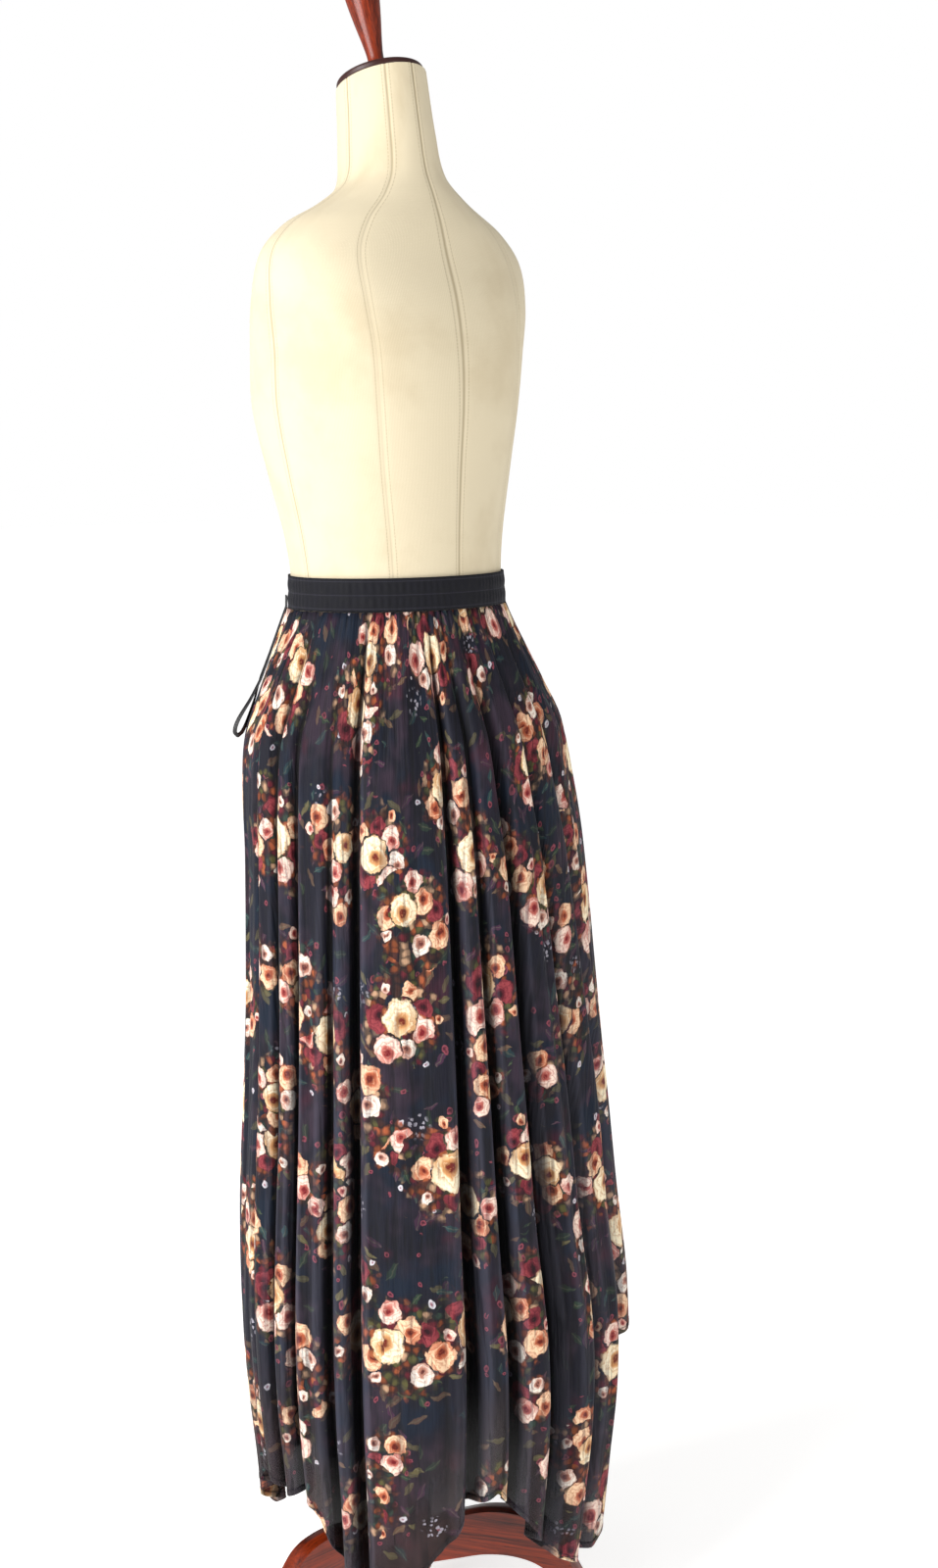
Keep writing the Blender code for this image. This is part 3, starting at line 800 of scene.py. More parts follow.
class Recipe:
    """A material's node tree and short ways to add to it."""

    def __init__(self, name):
        self.material = bpy.data.materials.new(name)
        self.material.use_nodes = True
        self.tree = self.material.node_tree
        self.shader = self.tree.nodes["Principled BSDF"]

    def node(self, kind, inputs=None, **settings):
        """A node with its settings, and its inputs by name or number: a value or an output."""
        made = self.tree.nodes.new("ShaderNode" + kind)
        for key, value in settings.items():
            setattr(made, key, value)
        for key, value in (inputs or {}).items():
            self.feed(made.inputs[key], value)
        return made

    def feed(self, socket, value):
        """Sets a socket, or links an output to it."""
        if isinstance(value, bpy.types.NodeSocket):
            self.tree.links.new(value, socket)
        else:
            socket.default_value = value

    def math(self, operation, *values, clamp=False):
        """A sum on numbers."""
        made = self.node("Math", dict(enumerate(values)), operation=operation, use_clamp=clamp)
        return made.outputs[0]

    def times(self, a, b):
        """One number by another."""
        return self.math("MULTIPLY", a, b)

    def plus(self, a, b):
        """Two numbers together."""
        return self.math("ADD", a, b)

    def minus(self, a, b, clamp=False):
        """One number less another."""
        return self.math("SUBTRACT", a, b, clamp=clamp)

    def line(self, value, slope, start):
        """A number by a slope, from a start."""
        return self.math("MULTIPLY_ADD", value, slope, start)

    def size(self, value):
        """A number without its sign."""
        return self.math("ABSOLUTE", value)

    def vector(self, operation, *values):
        """A sum on vectors."""
        made = self.node("VectorMath", dict(enumerate(values)), operation=operation)
        return made.outputs["Value" if operation in ("LENGTH", "DISTANCE") else "Vector"]

    def between(self, value, low, high, to_low=0.0, to_high=1.0):
        """A value's smooth step between two edges."""
        inputs = {"Value": value, "From Min": low, "From Max": high, "To Min": to_low, "To Max": to_high}
        return self.node("MapRange", inputs, interpolation_type="SMOOTHSTEP").outputs["Result"]

    def mix(self, factor, a, b, blend_type="MIX"):
        """One colour over another."""
        inputs = {0: factor, 6: self.solid(a), 7: self.solid(b)}
        return self.node("Mix", inputs, data_type="RGBA", blend_type=blend_type).outputs[2]

    def mix_vector(self, factor, a, b):
        """One vector in place of another."""
        return self.node("Mix", {0: factor, 4: a, 5: b}, data_type="VECTOR").outputs[1]

    def solid(self, colour):
        """A colour with its alpha, if it is a plain one."""
        return colour if isinstance(colour, bpy.types.NodeSocket) else (*colour[:3], 1.0)

    def ramp(self, value, stops, interpolation="LINEAR"):
        """A colour for each stretch of a value, from a table of positions and colours."""
        made = self.node("ValToRGB", {0: value})
        made.color_ramp.interpolation = interpolation
        elements = made.color_ramp.elements
        while len(elements) < len(stops):
            elements.new(0.5)
        for element, (position, colour) in zip(elements, stops):
            element.position = position
            element.color = self.solid(colour)
        return made.outputs["Color"]

    def noise(self, vector, scale, detail=2.0, roughness=0.5, dimensions="3D", output="Fac"):
        """Cloudy variation about 0.5, or three of them in a colour."""
        inputs = {"Vector": vector, "Scale": scale, "Detail": detail, "Roughness": roughness}
        return self.node("TexNoise", inputs, noise_dimensions=dimensions).outputs[output]

    def uv(self, name):
        """A place on one of the piece's UV maps."""
        return self.node("UVMap", uv_map=name).outputs["UV"]

    def cells(self, place, size=1.0):
        """Scattered cells of a size on a flat place."""
        return self.node("TexVoronoi", {"Vector": place, "Scale": 1.0 / size}, voronoi_dimensions="2D")

    def turned(self, place, angle):
        """A flat place turned about its origin."""
        return self.node("VectorRotate", {"Vector": place, "Angle": angle}, rotation_type="Z_AXIS").outputs[0]

    def over(self, colour, covers, strength, paint):
        """Paint over a colour, at a strength, where it covers."""
        return self.mix(self.times(covers, strength), colour, paint)

    def tint(self, colour, paint, value, low, high, strength=1.0):
        """Paint over a colour, at a strength, as a value goes from one edge to the other."""
        return self.mix(self.between(value, low, high, 0.0, strength), colour, paint)

    def darken(self, colour, shadow, where):
        """A colour as the shadow leaves it, as far as where says."""
        return self.mix(where, colour, self.mix(1.0, colour, shadow, "MULTIPLY"))

    def split(self, vector):
        """A vector's or colour's three numbers."""
        return self.node("SeparateXYZ", {0: vector}).outputs

    def bump(self, height, distance, strength=1.0, under=None):
        """A bumped surface from a height between 0 and 1."""
        inputs = {"Height": height, "Distance": distance, "Strength": strength}
        made = self.node("Bump", inputs)
        if under is not None:
            self.feed(made.inputs["Normal"], under)
        return made.outputs["Normal"]

    def finish(self, colour, roughness, normal=None, alpha=None, **fixed):
        """Feeds the shader, with what is the same all over set on its own sockets."""
        self.feed(self.shader.inputs["Base Color"], self.solid(colour))
        self.feed(self.shader.inputs["Roughness"], roughness)
        if normal is not None:
            self.feed(self.shader.inputs["Normal"], normal)
        if alpha is not None:
            self.feed(self.shader.inputs["Alpha"], alpha)
        for key, value in fixed.items():
            self.shader.inputs[key.replace("_", " ")].default_value = value
        return self.material


# A rose's colours by its tone: its outer petals, the petals nearer the middle, and the middle
ROSE_TONES = (
    # tone from, outer, inner, middle
    (0.0, (252, 238, 204), (216, 158, 100), (104, 32, 22)),
    (0.2, (242, 206, 168), (190, 100, 66), (96, 28, 20)),
    (0.4, (246, 222, 204), (190, 100, 88), (112, 22, 30)),
    (0.6, (142, 58, 64), (94, 26, 38), (38, 10, 18)),
    (0.8, (240, 232, 218), (186, 128, 108), (92, 44, 40)),
)
FILLER_COLOURS = (
    # from, colour: the small petals and leaves that fill a bouquet between its roses
    (0.00, (122, 62, 34)),
    (0.20, (98, 28, 38)),
    (0.38, (60, 34, 28)),
    (0.52, (186, 148, 116)),
    (0.64, (84, 80, 44)),
    (0.80, (160, 84, 50)),
    (0.92, (46, 62, 52)),
)
LEAF_COLOURS = (
    # from, colour
    (0.00, (44, 62, 46)),
    (0.28, (38, 66, 68)),
    (0.48, (96, 88, 58)),
    (0.66, (74, 44, 66)),
    (0.84, (104, 78, 60)),
)


def bouquets(recipe, place, chart, spacing, across, up, lean, seed):
    """A charted bouquet in each cell of a drop whose columns lean and are shifted by chance, as
    each bouquet's place, turn and size are. Gives the place within the rose that lies on top
    and its tone, the distance from the bouquet's middle, and a chance number for each bouquet."""
    place = recipe.turned(place, math.radians(lean))
    scale = 1.0 / spacing
    cells = recipe.vector("MULTIPLY_ADD", place, (scale, scale, 0.0), (across, up, 0.0))
    column, along, _ = recipe.split(cells)
    slip = recipe.node(
        "TexWhiteNoise", {"W": recipe.plus(recipe.math("FLOOR", column), seed)}, noise_dimensions="1D"
    )
    along = recipe.plus(along, slip.outputs["Value"])
    cells = recipe.node("CombineXYZ", {"X": column, "Y": along}).outputs[0]
    cell = recipe.vector("FLOOR", cells)
    chance = recipe.node("TexWhiteNoise", {"Vector": recipe.vector("ADD", cell, (seed, seed, seed))})
    margin = BOUQUET_REACH / spacing
    play = 1.0 - 2.0 * margin
    shift = recipe.vector("MULTIPLY_ADD", chance.outputs["Color"], (play, play, 0.0), (margin, margin, 0.0))
    local = recipe.vector("SUBTRACT", recipe.vector("SUBTRACT", cells, cell), shift)
    size = recipe.line(recipe.split(chance.outputs["Color"])[2], 0.18 * spacing, 0.78 * spacing)
    local = recipe.node("VectorMath", {"Vector": local, "Scale": size}, operation="SCALE").outputs["Vector"]
    turn = recipe.times(chance.outputs["Value"], 2.0 * math.pi)
    local = recipe.turned(local, turn)
    rose = (9.0, 9.0, 0.0)
    for right, above, radius, tone in chart:
        scale = 1.0 / radius
        at = recipe.vector("MULTIPLY_ADD", local, (scale, scale, 0.0), (-right * scale, -above * scale, tone))
        inside = recipe.math("LESS_THAN", recipe.vector("DISTANCE", at, (0.0, 0.0, tone)), 0.97)
        rose = recipe.mix_vector(inside, rose, at)
    chart_reach = max(math.hypot(right, above) + radius for right, above, radius, _ in chart)
    reach = recipe.times(recipe.vector("LENGTH", local), SAME_REACH / chart_reach)
    return rose, reach, chance.outputs["Value"]


def rose_colour(recipe, rose, chance, paint):
    """The painted look of a rose, uneven where the paint is, and where it covers the ground."""
    x, y, tone = recipe.split(rose)
    flat = recipe.vector("MULTIPLY", rose, (1.0, 1.0, 0.0))
    away = recipe.vector("LENGTH", flat)
    angle = recipe.math("ARCTAN2", y, x)
    turn = recipe.line(tone, 17.0, recipe.times(chance, 40.0))
    middle = recipe.node(
        "CombineXYZ",
        {
            "X": recipe.times(recipe.math("COSINE", turn), 0.20),
            "Y": recipe.times(recipe.math("SINE", turn), 0.20),
        },
    ).outputs[0]
    off_middle = recipe.vector("DISTANCE", flat, middle)
    lobes = recipe.math("COSINE", recipe.line(angle, 5.0, turn))
    three = recipe.math("COSINE", recipe.line(angle, 3.0, recipe.times(turn, -1.7)))
    scallops = recipe.size(recipe.math("COSINE", recipe.line(angle, 2.5, turn)))
    edge = recipe.line(lobes, 0.035, recipe.line(three, 0.045, 0.88))
    edge = recipe.line(paint, 0.16, recipe.minus(edge, 0.08))
    covers = recipe.between(recipe.minus(edge, away), -0.03, 0.06)
    curl = recipe.line(scallops, 0.46, recipe.line(three, 0.20, recipe.times(paint, 0.45)))
    whorl = recipe.line(off_middle, 2.6, curl)
    petal = recipe.math("FRACT", recipe.plus(whorl, 4.0))
    petal_base = recipe.between(petal, 0.50, 0.0)
    petal_rim = recipe.between(petal, 0.72, 0.95)
    outer, inner, heart = (
        recipe.ramp(tone, [(row[0], shade(*row[k])) for row in ROSE_TONES], "CONSTANT") for k in (1, 2, 3)
    )
    lit_side = recipe.math("COSINE", recipe.minus(angle, turn))
    shadow_side = recipe.times(recipe.between(lit_side, -0.2, 1.0), recipe.between(away, 0.25, 0.75))
    colour = recipe.tint(inner, outer, off_middle, 0.30, 0.56)
    colour = recipe.over(colour, shadow_side, 0.72, inner)
    colour = recipe.over(colour, petal_base, 0.55, recipe.mix(0.30, inner, heart))
    colour = recipe.over(colour, petal_rim, 0.55, outer)
    about_heart = recipe.between(off_middle, 0.20, 0.44, 0.80, 0.0)
    colour = recipe.mix(about_heart, colour, recipe.mix(0.5, inner, heart))
    colour = recipe.tint(heart, colour, off_middle, 0.13, 0.27)
    colour = recipe.tint(colour, recipe.mix(0.25, inner, heart), paint, 0.50, 0.78, 0.60)
    colour = recipe.tint(colour, inner, away, 0.70, 0.92, 0.35)
    return colour, covers


def filler(recipe, place, reach, ragged):
    """The small petals and leaves between a bouquet's roses: their colour and how much they
    cover, out to a ragged edge."""
    cells = recipe.cells(place, FILLER_SIZE)
    chance, other, _ = recipe.split(cells.outputs["Color"])
    colour = recipe.ramp(chance, [(start, shade(*display)) for start, display in FILLER_COLOURS], "CONSTANT")
    colour = recipe.tint(colour, shade(26, 20, 24), cells.outputs["Distance"], 0.16, 0.58, 0.82)
    edge = recipe.line(ragged, -0.030, reach)
    covers = recipe.times(recipe.between(edge, 0.030, 0.018), recipe.between(other, 0.10, 0.20))
    return colour, covers


def leaves(recipe, place, size, seed, near, spread):
    """Scattered leaves, thick among the roses: their colour and how much they cover."""
    scale = 1.0 / size
    at = recipe.vector("MULTIPLY_ADD", place, (scale, scale, 0.0), (seed, seed * 1.7, 0.0))
    cells = recipe.cells(at)
    red, green, blue = recipe.split(cells.outputs["Color"])
    local = recipe.vector("SUBTRACT", at, cells.outputs["Position"])
    turn = recipe.times(red, 2.0 * math.pi)
    local = recipe.turned(local, turn)
    along, beside, _ = recipe.split(local)
    beside = recipe.size(beside)
    width = recipe.line(recipe.math("POWER", recipe.size(along), 2.0), -0.80, 0.15)
    blade = recipe.between(recipe.minus(width, beside), -0.005, 0.03)
    chance = recipe.line(near, 0.62, spread)
    covers = recipe.times(blade, recipe.math("LESS_THAN", green, chance))
    colour = recipe.ramp(blue, [(start, shade(*display)) for start, display in LEAF_COLOURS], "CONSTANT")
    colour = recipe.tint(colour, shade(134, 132, 104), beside, 0.035, 0.008, 0.30)
    return colour, covers


def buds(recipe, place, size, radius, seed, chance):
    """Scattered small white buds: how much they cover and how near their middle is."""
    scale = 1.0 / size
    at = recipe.vector("MULTIPLY_ADD", place, (scale, scale, 0.0), (seed, seed * 2.3, 0.0))
    cells = recipe.cells(at)
    red, green, _ = recipe.split(cells.outputs["Color"])
    reach = recipe.line(green, radius * 0.5 / size, radius * 0.7 / size)
    inside = recipe.math("DIVIDE", cells.outputs["Distance"], reach)
    covers = recipe.times(recipe.between(inside, 1.05, 0.8), recipe.math("LESS_THAN", red, chance))
    return covers, inside


def mesh_holes(recipe, place, pitch):
    """The net's threads, 1, and holes, 0."""
    turns = 2.0 * math.pi / pitch
    across, down, _ = recipe.split(place)
    first = recipe.math("SINE", recipe.times(recipe.plus(across, down), turns))
    second = recipe.math("SINE", recipe.times(recipe.minus(across, down), turns))
    return recipe.line(recipe.times(first, second), 0.5, 0.5)


def printed_mesh(name, settings):
    """The panels' cloth: bouquets of roses with leaves and buds on a dark clouded ground, on a
    fine net that lets a little light through beside the hem. Painted shade darkens its folds,
    creases and crinkles, and a painted highlight lightens its ridges."""
    recipe = Recipe(name)
    place = recipe.uv("Cloth")
    above_hem, hollow, _ = recipe.split(recipe.uv("Hem"))
    cavity, _, _ = recipe.split(recipe.uv("Creases"))

    wobble = recipe.noise(place, 80.0, 2.0, 0.55, "2D", output="Color")
    shifted = recipe.vector("MULTIPLY_ADD", wobble, (0.0075, 0.0075, 0.0), (-0.00375, -0.00375, 0.0))
    drawn = recipe.vector("ADD", place, shifted)

    paint = recipe.noise(place, 330.0, 2.0, 0.6, "2D")
    rose, reach, chance = (9.0, 9.0, 0.0), 1.0, 0.0
    for drop in DROPS:
        upper, upper_reach, upper_chance = bouquets(recipe, drawn, *drop)
        on_top = recipe.math("LESS_THAN", upper_reach, 0.047)
        rose = recipe.mix_vector(on_top, rose, upper)
        chance = recipe.plus(chance, recipe.times(on_top, upper_chance))
        reach = recipe.math("MINIMUM", reach, upper_reach)
    roses, rose_covers = rose_colour(recipe, rose, chance, paint)
    near = recipe.between(reach, 0.066, 0.040)

    clouds = recipe.noise(place, 11.0, 3.0, 0.6, "2D", output="Color")
    cloud_one, cloud_two, cloud_three = recipe.split(clouds)
    colour = recipe.tint(settings.ground, settings.ground_mauve, cloud_one, 0.46, 0.66)
    colour = recipe.tint(colour, settings.ground_teal, cloud_two, 0.48, 0.66)
    colour = recipe.tint(colour, shade(82, 26, 42), cloud_three, 0.60, 0.74, 0.30)
    beside_hem = recipe.between(above_hem, 0.17, 0.02)
    colour = recipe.over(colour, beside_hem, 0.5, settings.ground_brown)

    far_leaves, far_covers = leaves(recipe, drawn, 0.026, 7.3, near, 0.34)
    colour = recipe.over(colour, far_covers, 0.48, far_leaves)
    near_leaves, near_covers = leaves(recipe, drawn, 0.021, 1.9, near, 0.04)
    colour = recipe.over(colour, near_covers, 0.80, near_leaves)
    berry_covers, berry_middle = buds(recipe, drawn, 0.0165, 0.0034, 9.1, recipe.line(near, 0.34, 0.04))
    berry_colour = recipe.mix(recipe.between(berry_middle, 0.1, 0.8), shade(64, 22, 36), shade(138, 66, 78))
    colour = recipe.over(colour, berry_covers, 0.9, berry_colour)

    spray = recipe.cells(drawn, SPRAY_SPACING)
    spray_chance, _, _ = recipe.split(spray.outputs["Color"])
    near_spray = recipe.between(spray.outputs["Distance"], 0.21, 0.12)
    in_spray = recipe.times(near_spray, recipe.math("LESS_THAN", spray_chance, 0.22))
    dots, _ = buds(recipe, drawn, 0.0058, 0.0019, 4.1, 0.8)
    colour = recipe.mix(recipe.times(dots, in_spray), colour, shade(150, 146, 156))

    bud_chance = recipe.line(near, 0.14, 0.05)
    bud_covers, bud_middle = buds(recipe, drawn, 0.033, 0.0034, 2.7, bud_chance)
    bud_colour = recipe.mix(recipe.between(bud_middle, 0.10, 0.55), shade(146, 92, 104), shade(206, 202, 208))
    colour = recipe.over(colour, bud_covers, 0.92, bud_colour)
    ragged = recipe.noise(place, 70.0, 2.0, 0.6, "2D")
    filling, filling_covers = filler(recipe, drawn, reach, ragged)
    colour = recipe.over(colour, filling_covers, 0.92, filling)
    colour = recipe.mix(rose_covers, colour, roses)

    threads = mesh_holes(recipe, place, settings.weave_pitch)
    colour = recipe.darken(colour, (0.30, 0.29, 0.34), recipe.between(threads, 0.9, 0.1, 0.0, 0.22))
    # Painted shade: the colour is darkened almost to black in the folds' hollows and in creases deeper than
    # their neighbours.
    painted_fold_shade = recipe.between(hollow, 0.006, 0.019, 0.0, 0.93)
    painted_crease_shade = recipe.between(cavity, 0.0006, 0.0040, 0.0, 0.97)
    colour = recipe.darken(colour, (0.05, 0.05, 0.07), recipe.math("MAXIMUM", painted_fold_shade, painted_crease_shade))
    # Painted highlight: a pale grey-lavender on ridges that stand out past their neighbours.
    colour = recipe.tint(colour, shade(150, 150, 172), cavity, -0.0012, -0.0040, 0.07)
    from_stitches = recipe.size(recipe.minus(above_hem, settings.hem_height - 0.0012))
    colour = recipe.tint(colour, settings.thread, from_stitches, 0.0007, 0.0003, 0.6)

    crinkle_place = recipe.vector("MULTIPLY", place, (1.0, 0.10, 0.0))
    crinkles = recipe.noise(crinkle_place, 140.0, 2.0, 0.55, "2D")
    # Painted shade in the hollows of the fine crinkles that the bump below raises.
    colour = recipe.darken(colour, (0.22, 0.22, 0.27), recipe.between(crinkles, 0.50, 0.32, 0.0, 0.62))
    normal = recipe.bump(crinkles, 0.0022, 0.75)
    normal = recipe.bump(threads, 0.0002, 0.35, normal)
    roughness = recipe.between(crinkles, 0.30, 0.72, 0.62, 0.80)

    see_through = recipe.line(threads, -0.3 * settings.sheerness, 1.15 * settings.sheerness)
    see_through = recipe.times(beside_hem, see_through)
    see_through = recipe.times(see_through, recipe.line(rose_covers, -0.6, 1.0))
    alpha = recipe.minus(1.0, see_through, clamp=True)
    return recipe.finish(
        colour, roughness, normal, alpha,
        Sheen_Weight=0.05, Sheen_Roughness=0.40, Sheen_Tint=(*shade(190, 186, 214), 1.0),
        Specular_IOR_Level=0.20,
    )


def stitched_cloth(name, colour, thread, stitch_rows, settings):
    """A plain dark cloth with its weave, and rows of stitches at distances up its UV map."""
    recipe = Recipe(name)
    place = recipe.uv("Cloth")
    across, up, _ = recipe.split(place)
    threads = mesh_holes(recipe, place, settings.weave_pitch * 0.8)
    worn = recipe.noise(place, 60.0, 3.0, dimensions="2D")
    base = recipe.tint(colour, scaled(colour, 1.9), worn, 0.35, 0.75, 0.5)
    stitch_along = recipe.math("PINGPONG", recipe.math("DIVIDE", across, 0.0030), 0.5)
    stitches = 0.0
    for row in stitch_rows:
        from_row = recipe.size(recipe.minus(up, row))
        on_row = recipe.between(from_row, 0.00055, 0.0003)
        stitch = recipe.times(on_row, recipe.between(stitch_along, 0.07, 0.15))
        stitches = recipe.math("MAXIMUM", stitches, stitch)
    base = recipe.mix(stitches, base, thread)
    height = recipe.line(threads, 0.3, stitches)
    normal = recipe.bump(height, 0.0004, 0.6)
    roughness = recipe.line(worn, 0.25, 0.62)
    return recipe.finish(
        base, roughness, normal,
        Sheen_Weight=0.08, Sheen_Roughness=0.4, Sheen_Tint=(*shade(150, 150, 165), 1.0),
        Specular_IOR_Level=0.22,
    )


def satin_ribbon(settings):
    """Black satin: long floats across the ribbon and a soft gloss."""
    recipe = Recipe("satin_ribbon")
    place = recipe.uv("Cloth")
    across, along, _ = recipe.split(place)
    floats = recipe.math("SINE", recipe.times(along, 2.0 * math.pi / 0.0005))
    uneven = recipe.noise(place, 400.0, 2.0, dimensions="2D")
    edge = recipe.between(recipe.size(across), 0.0011, 0.0015)
    colour = recipe.mix(edge, settings.ribbon, scaled(settings.ribbon, 2.2))
    height = recipe.line(floats, 0.5, uneven)
    roughness = recipe.line(uneven, 0.2, 0.26)
    normal = recipe.bump(height, 0.0001, 0.5)
    return recipe.finish(colour, roughness, normal, Specular_IOR_Level=0.45)


def knitted_cover(settings):
    """The form's cream jersey: fine columns of knit with painted shade in their hollows, seams and slight
    soiling.
    """
    recipe = Recipe("knitted_cover")
    place = recipe.uv("Cloth")
    from_seam, _, _ = recipe.split(recipe.uv("Seams"))
    across, up, _ = recipe.split(place)
    wale = recipe.math("SINE", recipe.times(across, 2.0 * math.pi / 0.0016))
    bent_up = recipe.line(wale, 0.8, recipe.times(up, math.pi / 0.0013))
    course = recipe.size(recipe.math("SINE", bent_up))
    knit = recipe.line(wale, 0.35, course)
    clouds = recipe.noise(place, 9.0, 4.0, 0.6, "2D")
    fuzz = recipe.noise(place, 700.0, 2.0, dimensions="2D")
    colour = recipe.tint(settings.cover, settings.cover_soil_and_shade, clouds, 0.42, 0.78, 0.42)
    # Painted shade in the knit's hollows, where its bump is lowest.
    colour = recipe.tint(colour, settings.cover_soil_and_shade, knit, 0.4, -0.3, 0.16)
    seam = recipe.between(from_seam, 0.0016, 0.0004)
    colour = recipe.over(colour, seam, 0.75, scaled(settings.cover_soil_and_shade, 0.72))
    stitch_along = recipe.math("PINGPONG", recipe.math("DIVIDE", up, 0.0034), 0.5)
    beside = recipe.between(recipe.size(recipe.minus(from_seam, 0.0040)), 0.0006, 0.0003)
    stitches = recipe.times(beside, recipe.between(stitch_along, 0.08, 0.16))
    colour = recipe.over(colour, stitches, 0.6, scaled(settings.cover_soil_and_shade, 0.8))
    height = recipe.line(fuzz, 0.5, recipe.line(stitches, -1.2, knit))
    normal = recipe.bump(height, 0.0003, 0.35)
    roughness = recipe.line(fuzz, 0.15, 0.76)
    return recipe.finish(
        colour, roughness, normal,
        Sheen_Weight=0.25, Sheen_Roughness=0.5, Sheen_Tint=(*shade(250, 244, 228), 1.0),
        Specular_IOR_Level=0.3,
    )


def stained_wood(name, settings):
    """Dark red stained and polished wood, its grain along each piece."""
    recipe = Recipe(name)
    place = recipe.node("Attribute", attribute_name="grain").outputs["Vector"]
    bend = recipe.noise(recipe.vector("MULTIPLY", place, (5.0, 26.0, 26.0)), 1.0, 2.0, output="Color")
    bent = recipe.vector("MULTIPLY_ADD", bend, (0.0, 0.012, 0.012), place)
    fibres = recipe.noise(recipe.vector("MULTIPLY", bent, (14.0, 520.0, 520.0)), 1.0, 3.0, 0.6)
    rings = recipe.noise(recipe.vector("MULTIPLY", bent, (3.0, 110.0, 110.0)), 1.0, 2.0)
    pores = recipe.noise(recipe.vector("MULTIPLY", bent, (60.0, 1500.0, 1500.0)), 1.0, 1.0)
    grain = recipe.line(fibres, 0.55, recipe.times(rings, 0.45))
    between_grain = tuple((a + b) / 2 for a, b in zip(settings.wood_dark, settings.wood_light))
    stops = [(0.36, settings.wood_dark), (0.50, between_grain), (0.66, settings.wood_light)]
    colour = recipe.ramp(grain, stops)
    pore = recipe.between(pores, 0.36, 0.28)
    colour = recipe.over(colour, pore, 0.7, scaled(settings.wood_dark, 0.5))
    normal = recipe.bump(recipe.minus(grain, pore), 0.0002, 0.25)
    roughness = recipe.line(grain, 0.24, 0.20)
    return recipe.finish(
        colour, roughness, normal, Coat_Weight=0.14, Coat_Roughness=0.16, Specular_IOR_Level=0.3
    )


def cap_paint(settings):
    """Dark satin paint with brush marks and worn spots."""
    recipe = Recipe("brushed_paint")
    place = recipe.node("TexCoord").outputs["Object"]
    marks = recipe.noise(recipe.vector("MULTIPLY", place, (40.0, 260.0, 260.0)), 1.0, 3.0)
    spots = recipe.noise(place, 120.0, 4.0, 0.6)
    colour = recipe.tint(settings.cap, scaled(settings.cap, 2.1), spots, 0.52, 0.74, 0.6)
    colour = recipe.tint(colour, scaled(settings.cap, 0.5), marks, 0.3, 0.7, 0.3)
    normal = recipe.bump(marks, 0.0002, 0.3)
    roughness = recipe.line(spots, 0.35, 0.25)
    return recipe.finish(colour, roughness, normal, Specular_IOR_Level=0.45)


def studio_floor(settings):
    """Pale matt floor with the faintest mottling."""
    recipe = Recipe("pale_floor")
    place = recipe.node("TexCoord").outputs["Object"]
    mottle = recipe.noise(place, 1.3, 3.0)
    colour = recipe.tint(settings.floor, scaled(settings.floor, 0.97), mottle, 0.3, 0.8, 0.5)
    roughness = recipe.line(mottle, 0.1, 0.8)
    x, y, _ = recipe.split(place)
    spread = recipe.line(x, x, recipe.times(y, y))
    glow = recipe.between(spread, 1.0**2, 4.0**2, FLOOR_GLOW_NEAR, FLOOR_GLOW_FAR)
    recipe.feed(recipe.shader.inputs["Emission Strength"], glow)
    return recipe.finish(colour, roughness, Specular_IOR_Level=0.2, Emission_Color=(1.0, 1.0, 1.0, 1.0))


# ---- Operators ------------------------------------------------------------------------------


